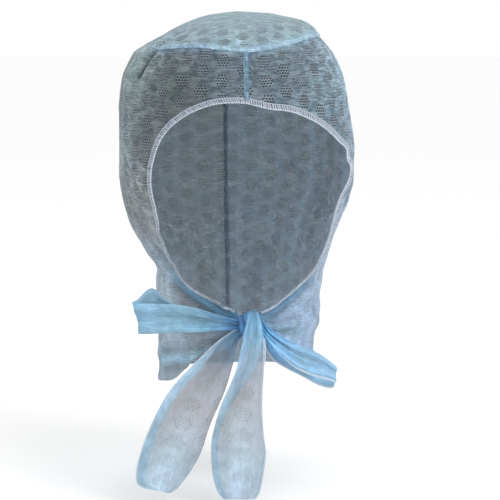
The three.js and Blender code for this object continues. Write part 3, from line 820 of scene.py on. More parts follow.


# %% [markdown]
# The cloth is the same blue everywhere, but it looks dark and grey where it lies flat on the brow, and pale
# and clear where light reaches it from both sides. Both are painted into the tint, as painted shade and
# painted light, which is set at a few places and mixed by nearness. Other tints are laid over it: paler
# along the seams, where the cloth lies doubled, a clear blue in the gathered band by the knot, a paler top
# to the slack cloth behind the right temple, partly doubled cloth and partly painted light, a clear blue
# along the hem's fold, partly folded cloth and partly a painted highlight on its ridge, painted shade
# between the stitches of the face edge, and painted shade, almost black, in the crease above the right
# temple.

# %% Tints of the side panels
# The cloth's colour with painted light and shade in it: darker and greyer on the brow, paler where light comes
# through.
PANEL_TINTS_AND_SHADE = [   # bearing, height, red, green and blue
    (-8, -45, 0.125, 0.165, 0.195),
    (-32, -62, 0.100, 0.122, 0.130),
    (-50, -95, 0.115, 0.139, 0.149),
    (-68, -34, 0.255, 0.330, 0.345),
    (-76, -90, 0.212, 0.290, 0.318),
    (-92, -104, 0.350, 0.470, 0.520),
    (-56, -121, 0.230, 0.258, 0.275),
    (-78, -134, 0.185, 0.225, 0.240),
    (-66, -146, 0.240, 0.265, 0.280),
    (-53, -166, 0.290, 0.315, 0.345),
    (-60, -186, 0.250, 0.350, 0.440),
    (-72, -214, 0.400, 0.510, 0.580),
    (-49, -216, 0.200, 0.225, 0.260),
    (-62, -232, 0.340, 0.440, 0.520),
    (-78, -268, 0.260, 0.340, 0.420),
    (22, -45, 0.142, 0.197, 0.238),
    (50, -72, 0.165, 0.240, 0.300),
    (76, -52, 0.300, 0.445, 0.540),
    (78, -120, 0.290, 0.400, 0.500),
    (66, -158, 0.410, 0.500, 0.620),
    (74, -132, 0.200, 0.280, 0.360),
    (62, -178, 0.360, 0.475, 0.610),
    (50, -236, 0.330, 0.460, 0.640),
    (-125, -80, 0.230, 0.310, 0.350),
    (125, -80, 0.270, 0.370, 0.430),
    (-125, -230, 0.270, 0.360, 0.420),
    (125, -230, 0.290, 0.400, 0.480),
]
BEARING_MM = 1.5          # millimetres that one degree of bearing counts for
BLUR = 60                 # more makes one place's tint give way to the next more softly,
BLUR_POWER = 1.6          # and less power too
SEAM_TINT = (0.27, 0.41, 0.51)
SEAM_REACH = 2.6          # millimetres, as all the reaches are
SLACK_BEARING = -74       # the middle of the slack cloth behind the right temple
SLACK_HEIGHT = -38
# Paler top of the slack cloth behind the right temple: partly doubled cloth, partly painted light on its puff.
SLACK_TINT_AND_LIGHT = (0.40, 0.52, 0.56)
CROWN_SEAM_REACH = 3.4
# Painted shade between the stitches of the face edge, on the cloth under them.
EDGE_SHADE = (0.19, 0.23, 0.29)
EDGE_SHADE_REACH = 2.2
BAND_TINT = {"right": (0.086, 0.275, 0.430), "left": (0.095, 0.235, 0.390)}
BAND_REACH = 9.5          # from the face edge,
KNOT_REACH = 19           # and from the knot's middle
HEM_BAND = {"right": [(-8, -228), (-22, -243), (-44, -254), (-78, -262)],
            "left": [(16, -226), (52, -236)]}
# Clear blue band along the hem's fold: partly folded cloth, partly a painted highlight on its ridge.
HEM_BAND_TINT_AND_HIGHLIGHT = (0.25, 0.42, 0.54)
HEM_BAND_REACH = 4.5
CREASE = [(-52.5, -20), (-60, -47)]
# Painted shade in the crease above the right temple, almost black.
CREASE_SHADE = (0.012, 0.03, 0.04)
CREASE_SHADE_REACH = 2.8


def in_slack(bearing):
    """1 behind the right temple, where the cloth is slack and hides the crown seam, and 0 elsewhere."""
    return step(bearing, -50, -8) * step(bearing, -114, 10)


def skin_line(places):
    return skin(*np.array(places, float).T)


def panel_tint_and_shade(side, bearing, height):
    places = np.array(PANEL_TINTS_AND_SHADE)
    apart = np.hypot((bearing[..., None] - places[:, 0]) * BEARING_MM, height[..., None] - places[:, 1])
    nearness = 1 / (apart ** 2 + BLUR) ** BLUR_POWER
    tint = nearness @ places[:, 2:] / nearness.sum(-1, keepdims=True)
    points = skin(bearing, height)
    face = face_line(side, 60)
    to_face = distance_to_line(points, skin_line(face))
    to_knot = np.linalg.norm(points - KNOT, axis=-1)
    by_jaw = step(height, -188, -12) * step(height, -232, 10)
    front = skin_line(np.linspace((FRONT_SEAM, crown_seam_height(FRONT_SEAM)), face[0], 8))
    below_crown = bell(crown_seam_height(bearing) - height, CROWN_SEAM_REACH)
    slack = in_slack(bearing)
    for laid_over, share in [
        (BAND_TINT[side], 0.95 * by_jaw * bell(to_face, BAND_REACH, 4)),
        (SEAM_TINT, 0.75 * below_crown * (1 - slack)),
        (SLACK_TINT_AND_LIGHT, 0.8 * below_crown * slack),
        (SEAM_TINT, 0.8 * near_line(points, front, SEAM_REACH)),
        (EDGE_SHADE, 0.85 * bell(to_face, EDGE_SHADE_REACH)),
        (BAND_TINT[side], 0.85 * bell(to_knot, KNOT_REACH)),
        (HEM_BAND_TINT_AND_HIGHLIGHT, 0.85 * near_line(points, skin_line(HEM_BAND[side]), HEM_BAND_REACH)),
        (CREASE_SHADE, near_line(points, skin_line(CREASE), CREASE_SHADE_REACH)),
    ]:
        tint = toward(tint, laid_over, share)
    return tint


def closeness(bearing, height):
    """How close the panels lie: most on the brow, the temples and at the back, least on the neck."""
    brow = bell(bearing, 80, 4) * step(height, -190, 80)
    back = step(np.abs(bearing), 110, 40)
    neck = step(height, -190, -30)
    return np.clip(0.28 + 0.72 * brow + 0.2 * back - 0.12 * neck, 0, 1)


def panel_plies(bearing, height):
    """1 where a panel lies doubled: along the crown seam, in the slack cloth and in the crease."""
    by_seam = bell(crown_seam_height(bearing) - height, 2.6)
    in_slack_cloth = bell(bearing - SLACK_BEARING, 24) * bell(height - SLACK_HEIGHT, 18)
    in_crease = near_line(skin(bearing, height), skin_line(CREASE), 3.5)
    return np.maximum(np.maximum(by_seam, in_slack_cloth), in_crease)


# %% Side panels
PANEL_CONTRAST = 1.55     # where a panel lies closest
CLEAR_FREE = 0.15         # how clearly the holes show where it stands free, where 1 is fully
panel_cloth = cloth_material("panel cloth", cover=0.78, hole_depth=0.2)


def side_panel(side):
    bearing, height = panel_places(side)
    if SIDES[side]["turn"] < 0:                     # so that the outside of both panels looks out
        bearing, height = bearing[:, ::-1], height[:, ::-1]
    grid, _ = folded(bearing, height, CLOTH_LIFT)
    uvs = np.stack([np.radians(bearing) * UV_RADIUS, -cloth_length(height)], axis=-1)
    # The tint gets painted light on the crests of the small relief and painted shade in its hollows.
    tint = mottled_and_shaded(grid, panel_tint_and_shade(side, bearing, height), small_relief(skin(bearing, height)))
    # Where the panel lies close, thick and thin places differ more and the holes show darker: painted shade
    # from behind the cloth, strongest on the brow.
    close = closeness(bearing, height)
    numbers = {"tint": tint, "contrast": PANEL_CONTRAST * close,
               "cut": CLEAR_FREE + (1 - CLEAR_FREE) * close, "plies": panel_plies(bearing, height)}
    piece = cloth_sheet(f"side_panel_cloth_{side}", grid, uvs, numbers)
    piece.data.materials.append(panel_cloth)
    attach(piece, "root")
    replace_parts(piece, f"side_panel_{side}")
    return piece


panels = {side: side_panel(side) for side in SIDES}


# %% [markdown]
# ## The crown
# The crown is one oval piece. Its rim lies on the same line of the folded skin as the top of the side
# panels, so the seam is closed. From there it rises as a low dome, and small puckers run in from the seam,
# where the longer cloth was sewn to the shorter.

# %% Crown
CROWN_RINGS = 64
CROWN_BEARINGS = 300
RIGHT_DOME = 1.12         # how the crown rises from its seam: less climbs sooner
LEFT_DOME = 0.43
PUCKER_COUNT = 74
PUCKER_STAND = 0.35
PUCKER_FADE = 0.09        # as a share of the way in
CROWN_SUNK = 0.3          # how far it sinks between its folds
CROWN_TINT = (0.298, 0.410, 0.458)
# Painted light and shade on the crown's puckers: paler on crests, darker in hollows.
PAINTED_CROWN_CREST_LIGHT = 0.07
CROWN_CONTRAST = 0.45
CLEAR_MIDDLE = 0.16       # how clearly the holes show in the middle, where 1 is as clearly as at the rim
ALLOWANCE_X = -4          # the end of the front seam shows through the crown here, this far forward
ALLOWANCE_FRONT = 62
ALLOWANCE_TINT = (0.44, 0.62, 0.76)
SLACK_WIDTH = 26          # where it is slack, the crown hangs over its seam this far to either side,
SLACK_RING = 0.93         # so far out from its middle, as a share,
SLACK_STAND = 0.8         # and stands out by so much


def crown_sheet():
    bearing = np.linspace(180, -180, CROWN_BEARINGS + 1)[1:]
    turn = np.radians(bearing)
    ring = np.sin(np.linspace(math.pi / 2, 0.012, CROWN_RINGS))[:, None]
    rim, _ = folded(bearing, crown_seam_height(bearing), CLOTH_LIFT)
    leftward = (1 + np.sin(turn)) / 2
    rise = (1 - ring * ring) ** (RIGHT_DOME + (LEFT_DOME - RIGHT_DOME) * leftward)
    grid = rim[None] * ring[..., None]
    grid[..., 2] = rim[None, :, 2] + (CROWN_TOP + CLOTH_LIFT - rim[None, :, 2]) * rise
    out = unit(np.stack([grid[..., 0], grid[..., 1], 40 + 60 * rise], axis=-1))
    puckers = np.sin(turn * PUCKER_COUNT + 2 * np.sin(turn * 9)) * bell(1 - ring, PUCKER_FADE, 1)
    slack = bell(bearing - SLACK_BEARING, SLACK_WIDTH) * bell(ring - SLACK_RING, 0.06)
    fine = PUCKER_STAND * puckers + crumple(grid)
    off_seam = step(1 - ring, 0, 0.05)
    stand = (fine + 0.5 * fold_height(grid, FOLDS) - CROWN_SUNK) * off_seam + SLACK_STAND * slack
    grid = grid + out * stand[..., None]
    run = np.linalg.norm(np.diff(grid[::-1], axis=0), axis=-1)
    reach = np.concatenate([np.linalg.norm(grid[-1:, :, :2], axis=-1), run]).cumsum(0)[::-1]
    uvs = np.stack([reach * np.sin(turn), -reach * np.cos(turn)], axis=-1)
    doubled = bell(1 - ring, 0.035)
    tint = toward(CROWN_TINT, SEAM_TINT, 0.7 * doubled * (1 - in_slack(bearing)))
    allowance = bell(grid[..., 0] - ALLOWANCE_X, 2) * step(-grid[..., 1], ALLOWANCE_FRONT, 10)
    # The tint gets painted light on the crests of the puckers and painted shade between them.
    tint = mottled_and_shaded(grid, toward(tint, ALLOWANCE_TINT, 0.8 * allowance), fine, PAINTED_CROWN_CREST_LIGHT)
    clear = CLEAR_MIDDLE + (1 - CLEAR_MIDDLE) * step(ring, 0.6, 0.3)
    numbers = {"tint": tint, "contrast": CROWN_CONTRAST, "cut": clear, "plies": doubled}
    piece = cloth_sheet("crown_cloth", grid, uvs, numbers, ring=True)
    piece.data.materials.append(panel_cloth)
    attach(piece, "root")
    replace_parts(piece, "crown_panel")
    return piece


crown = crown_sheet()

# %% [markdown]
# ## Seams
# Over each seam the two cut edges are laid to one side and sewn down, so it stands up as a narrow band of
# several plies, puckered a little by its stitches. A band is a flat oval swept along the seam. The stitches
# are short lengths of thread, each a small tube with closed ends.

# %% Sweeps and threads
GUIDE_NUDGE = np.array([0.011, 0.017, 0.013])    # so that a straight thread has a side too


def pucker(length, period, amount):
    """Uneven waves along a line."""
    return amount * (np.sin(length * 2 * math.pi / period)
                     + 0.6 * np.sin(length * 2 * math.pi / (period * 2.7) + 1.3)
                     + 0.4 * np.sin(length * 2 * math.pi / (period * 0.61) + 4))


def rightward(route, normals, ring=False):
    """The direction over the cloth to the right of the way a line runs."""
    closed = np.concatenate([route[-1:], route, route[:1]])
    run = closed[2:] - closed[:-2] if ring else np.gradient(route, axis=0)
    return unit(np.cross(unit(run), normals))


def beside(route, normals, at, sideways, upwards):
    """Places at some lengths along a route, so far to its right and so far out from the cloth."""
    length = line_length(route)
    at = np.clip(at, 0, length[-1])
    return (sampled(route, length, at) + sampled(rightward(route, normals), length, at) * sideways[..., None]
            + sampled(normals, length, at) * upwards[..., None])


def band(name, route, normals, widths, thicknesses, material, tint, sides=10, ring=False):
    """A flat oval of changing size, swept along a route."""
    across = rightward(route, normals, ring)
    turn = np.linspace(0, 2 * math.pi, sides, endpoint=False)
    grid = (route[:, None]
            + across[:, None] * (np.cos(turn)[None, :, None] * widths[:, None, None] / 2)
            + normals[:, None] * (np.sin(turn)[None, :, None] * thicknesses[:, None, None] / 2))
    count = len(route)
    faces = grid_faces(count, sides, ring=True)
    if ring:
        side = np.arange(sides)
        last = (count - 1) * sides
        faces += np.stack([last + side, last + (side + 1) % sides, (side + 1) % sides, side], 1).tolist()
    else:
        faces += [list(range(sides))[::-1], list(range((count - 1) * sides, count * sides))]
    length = line_length(route)[:, None]
    around = np.abs(np.linspace(-1, 1, sides))[None] * widths.mean()
    uvs = np.stack(np.broadcast_arrays(around, length), axis=-1)
    # Painted light and shade: paler on the crests of the puckers, darker between them.
    tint = mottled_and_shaded(grid, np.array(tint), pucker(length, 4.2, 0.5))
    numbers = {"tint": tint.reshape(-1, 3), "contrast": np.full(count * sides, 0.9),
               "plies": np.ones(count * sides)}
    made = finish_mesh(name, grid.reshape(-1, 3), faces, uvs.reshape(-1, 2), numbers)
    face_outwards(made)
    made.data.materials.append(material)
    return made


def threads(name, paths, radii, material, sides=5):
    """Many short threads in one mesh: paths is (threads, points, 3), radii (threads, points)."""
    count, steps = paths.shape[:2]
    run = unit(np.gradient(paths, axis=1))
    guide = unit(paths - paths.mean(1, keepdims=True) + GUIDE_NUDGE)
    across = unit(np.cross(run, guide))
    for i in range(1, steps):                       # carried along, so that no tube twists
        turned = across[:, i - 1] - run[:, i] * (across[:, i - 1] * run[:, i]).sum(-1, keepdims=True)
        across[:, i] = unit(turned)
    third = np.cross(run, across)
    turn = np.linspace(0, 2 * math.pi, sides, endpoint=False)
    circle = np.cos(turn)[:, None] * across[:, :, None] + np.sin(turn)[:, None] * third[:, :, None]
    corners = paths[:, :, None] + circle * radii[:, :, None, None]
    one = np.array(grid_faces(steps, sides, ring=True))
    shift = (np.arange(count) * steps * sides)[:, None, None]
    faces = (one[None] + shift).reshape(-1, 4).tolist()
    start = np.arange(sides)[None] + shift[:, 0]
    faces += start[:, ::-1].tolist() + (start + (steps - 1) * sides).tolist()
    length = np.linspace(0, 1, steps)[None, :, None] * 3 + np.arange(count)[:, None, None] * 0.37
    uvs = np.stack(np.broadcast_arrays(length, (turn / 2)[None, None, :]), axis=-1)
    made = finish_mesh(name, corners.reshape(-1, 3), faces, uvs.reshape(-1, 2))
    face_outwards(made)
    made.data.materials.append(material)
    print(name, count, "threads,", triangles(made), "triangles")
    return made


# %% Materials for seams and thread
seam_cloth = cloth_material("seam cloth", cover=0.95, hole_depth=0, along_v=True)


def thread_material(name, colour, shadow):
    """Fluffy thread: fine filaments run along it, paler on top, with painted shade between them."""
    material, start = empty_material(name)
    place = start.node("ShaderNodeUVMap", {"uv_map": "cloth"})
    filaments = place.grain((900, 5200, 1), detail=2).ramp(0.3, 0.65)
    base = filaments.mixed(shadow, colour)
    bump = start.node("ShaderNodeBump", None, {"Height": filaments, "Strength": 0.4, "Distance": 0.0002})
    surface = start.node("ShaderNodeBsdfPrincipled", None,
                         {"Base Color": base, "Roughness": 0.75, "Sheen Weight": 0.3, "Normal": bump})
    start.node("ShaderNodeOutputMaterial", None, {"Surface": surface})
    return material


lilac_thread = thread_material("lilac thread", (0.56, 0.60, 0.68, 1), (0.28, 0.33, 0.41, 1))
white_thread = thread_material("white thread", (0.80, 0.87, 0.94, 1), (0.55, 0.66, 0.78, 1))
blue_thread = thread_material("blue thread", (0.34, 0.50, 0.62, 1), (0.16, 0.28, 0.38, 1))
dark_thread = thread_material("dark thread", (0.06, 0.12, 0.17, 1), (0.03, 0.06, 0.09, 1))

# %% [markdown]
# The seams lie on the folded cloth, so they take their route from the same functions as the panels. Their
# width and height change a little from stitch to stitch.

# %% Crown, front and back seams
SEAM_WIDTH = 3.9
SEAM_THICKNESS = 1.35
SEAM_LIFT = 0.55          # its middle, out from the cloth
SEAM_SUNK = 2.4           # how much lower it lies in the slack cloth behind the right temple
SEAM_TINTS = {"crown": (0.32, 0.47, 0.58), "front": (0.19, 0.32, 0.43), "back": (0.25, 0.39, 0.48)}
STITCH_LENGTH = 1.1
STITCH_GAP = 0.75
STITCH_RADIUS = 0.26
STITCH_ARCH = 0.35        # how far a stitch rises in its middle,
STITCH_SUNK = 0.25        # and how deep its ends lie in the band


def stitch_row(name, route, normals, offset, lift, material):
    """A row of short stitches beside the middle of a route, each sunk into the cloth at its ends."""
    starts = np.arange(1, line_length(route)[-1] - STITCH_LENGTH, STITCH_LENGTH + STITCH_GAP)
    share = np.linspace(0, 1, 5)[None]
    at = starts[:, None] + share * STITCH_LENGTH
    height = lift + STITCH_ARCH * np.sin(share * math.pi) - STITCH_SUNK
    paths = beside(route, normals, at, np.array(offset), height)
    return threads(name, paths, np.full(at.shape, STITCH_RADIUS), material)


def seam(place, bearing, height, thread, rows, ring=False):
    """The band of a seam and its rows of stitches, each so far from the band's middle."""
    name = f"{place}_seam_band"
    route, normals = folded(bearing, height, lift=SEAM_LIFT - SEAM_SUNK * in_slack(bearing))
    length = line_length(route)
    widths = SEAM_WIDTH + pucker(length, 4.2, 0.22)
    thicknesses = SEAM_THICKNESS + pucker(length, 3.2, 0.16)
    rippled = route + normals * pucker(length, 5.1, 0.07)[:, None]
    made = band(name, rippled, normals, widths, thicknesses, seam_cloth, SEAM_TINTS[place], ring=ring)
    for i, offset in enumerate(rows):
        top = SEAM_THICKNESS / 2 * math.sqrt(1 - (2 * offset / SEAM_WIDTH) ** 2)
        row = stitch_row(f"{name}_stitches_{i}", route, normals, offset, top, thread)
        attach(row, "root")
    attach(made, "root")
    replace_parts(made, f"{place}_seam")
    print(name, round(length[-1]), "mm")


round_bearings = np.linspace(-180, 180, 420, endpoint=False)
seam("crown", round_bearings, crown_seam_height(round_bearings), blue_thread, (-0.9, 0.9), ring=True)
front_heights = np.linspace(crown_seam_height(FRONT_SEAM) - 1.2, SIDES["right"]["face"][0][1] + 1, 40)
seam("front", np.full(front_heights.shape, float(FRONT_SEAM)), front_heights, dark_thread, (-1.5, 0.4))
back_heights = np.linspace(crown_seam_height(BACK_SEAM) - 1.2, hem_height(BACK_SEAM), 200)
seam("back", np.full(back_heights.shape, float(BACK_SEAM)), back_heights, blue_thread, (-0.9, 0.9))

# %% [markdown]
# ## The overlocked edge
# An overlock machine throws a thread over the raw edge at every stitch: up through the cloth, slanting
# across to the edge, round it, and back underneath. One stitch is such a loop, and the edge repeats it about
# every two millimetres. A second thread runs along the inner ends of the loops and holds them. The stitches of
# the face edge grow smaller towards the knot, where the edge is drawn in, and are biggest on the left.

# %% Overlock stitches
THREAD_LOOP = np.array([   # along the stitch, across the edge (-1 inside, 1 outside), and up or down
    (0, -1, 0.25), (0.25, -0.55, 1), (0.5, 0, 1.05), (0.75, 0.55, 1), (0.88, 0.86, 0.72),
    (0.95, 1, 0), (1.0, 0.86, -0.72), (1.05, 0.5, -1), (1.15, -0.2, -1.05), (1.25, -0.9, -0.4),
]).T
ARCH = np.array([-0.1, 0.35, 0.5, 0.35, -0.1])     # the height of a short thread laid along the edge
BEAD = np.array([0.5, 1, 1.1, 1, 0.5])             # its radius, where it shows as a bead on the rim


def overlock(name, route, normals, thread, rim_thread, *, inside, outside, pitch, radius, height, size=1.0):
    """Loops of thread over an edge. The face or free side is to the right of the way the route runs. size
    makes the loops smaller at some points of the route."""
    length = line_length(route)
    count = int(length[-1] / pitch)
    starts = ((np.arange(count) + 0.5) * pitch + draws.uniform(-0.12, 0.12, count) * pitch)[:, None]
    shrink = np.interp(starts, length, np.broadcast_to(size, length.shape))
    loose = draws.uniform(0.88, 1.15, (count, 1)) * shrink
    thick = radius * (0.4 + 0.6 * shrink)

    slant, share, rise = THREAD_LOOP[:, None]
    reach = np.where(share < 0, share * inside, share * outside)
    paths = beside(route, normals, starts + (slant - 0.6) * pitch * 1.25, reach * loose,
                   rise * height * (1.1 - 0.1 * loose))
    radii = draws.uniform(0.85, 1.12, (count, 1)) * thick * np.ones(share.shape)
    loops = threads(f"{name}_loops", paths, radii, thread, sides=6)

    steps = np.linspace(-0.62, 0.62, len(ARCH)) * pitch
    paths = beside(route, normals, starts + steps, -inside * 0.96 * shrink, height * (0.9 + ARCH))
    chain = threads(f"{name}_chain", paths, np.full(paths.shape[:2], radius * 0.7), thread)
    paths = beside(route, normals, starts + steps * 0.7, outside * 1.05 * shrink, height * (0.1 + ARCH))
    rim = threads(f"{name}_rim", paths, 0.85 * BEAD * thick, rim_thread)
    for piece in (loops, chain, rim):
        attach(piece, "root")
    return loops, chain, rim


EDGE_STEPS = 260
EDGE_LIFT = -0.55
SIZE_BY_HEIGHT = [(-216, 0.28), (-196, 0.34), (-180, 0.46), (-150, 0.6), (-127, 0.8), (-100, 0.96)]
SIZE_BY_BEARING = [(-10, 1), (15, 1.12)]
face_right, face_left = (face_line(side, EDGE_STEPS) for side in ("right", "left"))
face_bearing, face_height = np.concatenate([face_right[::-1], face_left[1:]]).T
face_points, face_normals = folded(face_bearing, face_height, EDGE_LIFT)
face_size = (np.interp(face_height, *np.array(SIZE_BY_HEIGHT).T)
             * np.interp(face_bearing, *np.array(SIZE_BY_BEARING).T))
face_thread = overlock("face_edge", face_points, face_normals, lilac_thread, white_thread, inside=2.2,
                       outside=1.3, pitch=1.8, radius=0.48, height=0.5, size=face_size)
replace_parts(face_thread[0], "face_edging")
print("face edge", round(line_length(face_points)[-1]), "mm")

# %% [markdown]
# ## Ties
# Each tie is a long strip. In the bow it makes a loop and a tail. A strip is described by stations along
# it: its two edges and how far in front of the head it lies. Its cloth turns over at one edge, as a hem or
# as a wider fold, so the grid goes across the strip, round the turned edge and back a little way.

# %% Stations of the bow, in millimetres
LOOP_RIGHT = [   # x and z of the upper or right edge, x and z of the other edge, how far in front
    (-3.5, -220.3, -3.5, -226.6, 94.6),
    (-17.2, -216.8, -17.2, -226.8, 97.8),
    (-38.3, -210.1, -38, -228, 98.8),
    (-51, -207.6, -50, -228.2, 98.4),
    (-67, -207.2, -65, -228.8, 97.4),
    (-78.5, -206.8, -75, -229.1, 96),
    (-82.4, -206.8, -77.6, -229, 93.6),
    (-78.5, -204.9, -75, -228.2, 91.4),
    (-68.1, -196.8, -66, -227.4, 90.6),
    (-56, -206.8, -52, -226.6, 90.4),
    (-38, -212.4, -38, -226, 90.4),
    (-18, -217, -18, -225.4, 91.2),
    (-3.5, -220.6, -3.5, -225.8, 93),
]
LOOP_LEFT = [
    (11.7, -220.4, 11.6, -228.4, 95.2),
    (17.6, -226.6, 15.6, -235, 97),
    (27.4, -232.9, 24, -244.6, 98.4),
    (40.8, -239.1, 37, -255.8, 98.6),
    (54, -246, 50.5, -261.8, 97.6),
    (62.6, -252.8, 60.5, -264.8, 96),
    (66.2, -256.6, 65.2, -267.4, 93.6),
    (62.6, -255, 63.4, -271.4, 91.2),
    (53, -249.6, 54.3, -269.8, 90.4),
    (40, -244, 41.5, -262.9, 90.2),
    (27.4, -237.4, 29.4, -256.5, 90.4),
    (18, -230.8, 18.4, -248.6, 91),
    (11.7, -223, 11.8, -234, 92.4),
]
TAIL_RIGHT = [
    (-3.4, -224.4, 1.2, -229.6, 93.2),
    (-8.8, -228, -3.2, -232.6, 93.8),
    (-19, -234.9, -6.6, -238, 94.4),
    (-38.2, -252.6, -10, -253, 95),
    (-54.8, -270.6, -16, -272.7, 95.4),
    (-68.8, -295.6, -25.8, -294.9, 95.2),
    (-78, -320.9, -34, -319, 94.4),
    (-80, -333, -44.1, -335.8, 94),
    (-79, -339.8, -52, -345, 93.8),
    (-68, -344, -57.3, -346.9, 93.8),
]
TAIL_LEFT = [
    (0.6, -214.6, 8.4, -214.6, 91),
    (0.6, -214.8, 8.6, -214.8, 96.8),
    (-0.4, -219.6, 9.8, -219.6, 101.2),
    (-2.6, -229, 11.6, -229, 102),
    (-4.7, -240.8, 12.9, -240.8, 101.2),
    (-8.4, -257, 11.9, -255.1, 100.6),
    (-19.3, -282.7, 10.6, -282.7, 100.4),
    (-25.5, -305, 12, -305.8, 100.6),
    (-26.2, -316.3, 13.4, -316.3, 100.6),
    (-24.4, -336.2, 11, -337, 100),
    (-21, -346, 8.6, -347, 99.6),
    (-16.4, -351, 5.6, -351.6, 99.4),
]

# %% Strips
PAINTED_PLEAT_LIGHT = 0.3         # painted light and shade: how much lighter for each millimetre that a pleat stands out, darker in its hollows
TIE_CONTRAST = 0.45
CLEAR_TIE = 0.75          # how clearly the holes show along a tie,
CLEAR_TIP = 0.4           # and at its tip
TIP_START = 85            # millimetres from the knot
CLOSE_PLIES = 44          # as far from the knot, about, the cloth is bunched and shows no holes


def strip_edges(stations, steps):
    high = along_points([(x, -front, z) for x, z, _, _, front in stations], steps)
    low = along_points([(x, -front, z) for _, _, x, z, front in stations], steps)
    middle = (high + low) / 2
    normals = unit(np.cross(low - high, np.gradient(middle, axis=0)))
    return high, low, middle, normals


def strip(name, node, stations, cloth, *, steps, columns, flap, relief, tint, plies=0.0):
    """A strip of tie. flap is the width of the turned-over cloth along it, relief its pleats as a height
    for (length, share of the way across), and tint its colour for (length, how doubled it is)."""
    high, low, middle, normals = strip_edges(stations, steps)
    length = line_length(middle)[:, None]
    width = np.linalg.norm(low - high, axis=1)[:, None]
    turned = np.clip(flap(length), 0, 0.94 * width)
    share = np.concatenate([np.linspace(1, 0, columns + 1), np.linspace(0, 1, columns // 2 + 1)])[None]
    on_flap = np.repeat([False, True], [columns + 1, columns // 2 + 1])[None]
    place = np.where(on_flap, share * turned / width, share)
    pleats = relief(length, place)
    lift = pleats + on_flap * (0.25 + 0.55 * step(place * width, 0, 1.2))
    points = high[:, None] + (low - high)[:, None] * place[..., None]
    small = crumple(points) * 0.8
    points = points + normals[:, None] * (lift + small)[..., None]
    cloth_across = np.where(on_flap, -place, place) * width.mean()
    uvs = np.stack(np.broadcast_arrays(cloth_across, length), axis=-1)
    doubled = step(turned - place * width, -0.4, 0.8) * step(turned, 0, 1)
    # Painted light and shade: paler on the crests of the pleats and crumple, darker in their hollows.
    colours = mottled_and_shaded(points, tint(length, doubled), pleats + small, PAINTED_PLEAT_LIGHT)
    bunched = np.maximum(bell(length, CLOSE_PLIES), plies)
    clear = CLEAR_TIE + (CLEAR_TIP - CLEAR_TIE) * step(length, TIP_START, 30)
    piece = cloth_sheet(name, points, uvs, {"tint": colours, "contrast": TIE_CONTRAST, "cut": clear,
                                            "plies": np.maximum(doubled, bunched)})
    piece.data.materials.append(cloth)
    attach(piece, "root")
    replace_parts(piece, node)
    edges = points[:, 0], points[:, columns]
    return piece, edges, normals


# %% Tie cloth and its tints
tie_cloth = cloth_material("tie cloth", cover=0.55, patchy=0.1, hole_depth=0.3, hole_shade=0.5,
                           lit_through=0.25, along_v=True)
TAIL_TINT = (0.285, 0.308, 0.352)
TIP_TINT = (0.385, 0.53, 0.65)
HEM_TINT = (0.44, 0.63, 0.77)
# Deep blue of the knot's many plies, partly painted shade: darker than the dense folds of the loops.
KNOT_TINT_AND_SHADE = (0.088, 0.250, 0.490)
# The left loop's tints are lighter than the right's: painted light on the side that faces the lamp.
LOOP_TINT_AND_LIGHT = {"right": (0.300, 0.510, 0.650), "left": (0.350, 0.580, 0.760)}
LOOP_START_TINT_AND_LIGHT = {"right": (0.092, 0.290, 0.540), "left": (0.190, 0.540, 0.900)}


def from_either_end(length):
    return np.minimum(length, length[-1, 0] - length)


def loop_tint_and_light(side):
    def tint(length, doubled):
        return toward(LOOP_TINT_AND_LIGHT[side], LOOP_START_TINT_AND_LIGHT[side], bell(from_either_end(length), 20, 1.3))
    return tint


def tail_tint(near_knot, reach):
    def tint(length, doubled):
        colour = toward(TAIL_TINT, TIP_TINT, step(length, 70, 50))
        colour = toward(colour, HEM_TINT, 0.7 * doubled)
        return toward(colour, near_knot, bell(length, reach))
    return tint


# %% Loops
def no_flap(length):
    return 0 * length


def loop_pleats(length, across):
    """Pleats that run lengthwise and close up towards the knot, where the loop starts and ends."""
    near = bell(from_either_end(length), 34, 1)
    fold = np.sin(across * 2 * math.pi * 1.35 + 0.6 + length / 60)
    pleat = 1 - 2 * np.abs(np.sin(across * math.pi * 3.2 + length / 40)) ** 0.7
    finer = 1 - 2 * np.abs(np.sin(across * math.pi * 7.3 - length / 25 + 1)) ** 0.8
    return (0.35 + 0.5 * near) * fold + 1.3 * near * pleat + 0.6 * near * finer


loops = {side: strip(f"bow_loop_cloth_{side}", f"bow_loop_{side}", stations, tie_cloth, steps=150,
                     columns=34, flap=no_flap, relief=loop_pleats, tint=loop_tint_and_light(side), plies=1.0)
         for side, stations in (("right", LOOP_RIGHT), ("left", LOOP_LEFT))}


# %% Tails
def hem(length):
    return 6.5 * step(length, 12, 30) * step(length, 150, -12)


def lengthwise_fold(length):
    """Doubled at the knot, then opening out to a narrow hem."""
    return np.interp(length, [0, 22, 46, 66, 90, 160], [16, 15, 14, 9, 4.5, 4])


def tail_pleats(length, across):
    near = bell(length, 30, 1)
    soft = 0.5 * np.sin(across * 2 * math.pi * 1.2 + length / 30)
    fine = np.sin(across * 2 * math.pi * 2.3 + 1) + 0.35 * np.sin(across * 2 * math.pi * 4.9 + length / 8)
    return soft + (0.1 + 0.5 * near) * fine


# The left tail's tint by the knot is lighter than the right's: painted light on the side that faces the lamp.
tails = {
    "right": strip("tie_tail_cloth_right", "tie_tail_right", TAIL_RIGHT, tie_cloth, steps=170, columns=48,
                   flap=hem, relief=tail_pleats, tint=tail_tint((0.13, 0.28, 0.43), 26)),
    "left": strip("tie_tail_cloth_left", "tie_tail_left", TAIL_LEFT, tie_cloth, steps=190, columns=48,
                  flap=lengthwise_fold, relief=tail_pleats, tint=tail_tint((0.20, 0.44, 0.66), 34)),
}

# %% [markdown]
# ## The knot
# The knot is a turn of one strip, pulled tight over the other. Its cloth lies in creases that run up and
# down and slant a little, and it narrows where it goes under the tail. A sphere is made rounder or squarer
# by a power, drawn in at its waist and then creased.

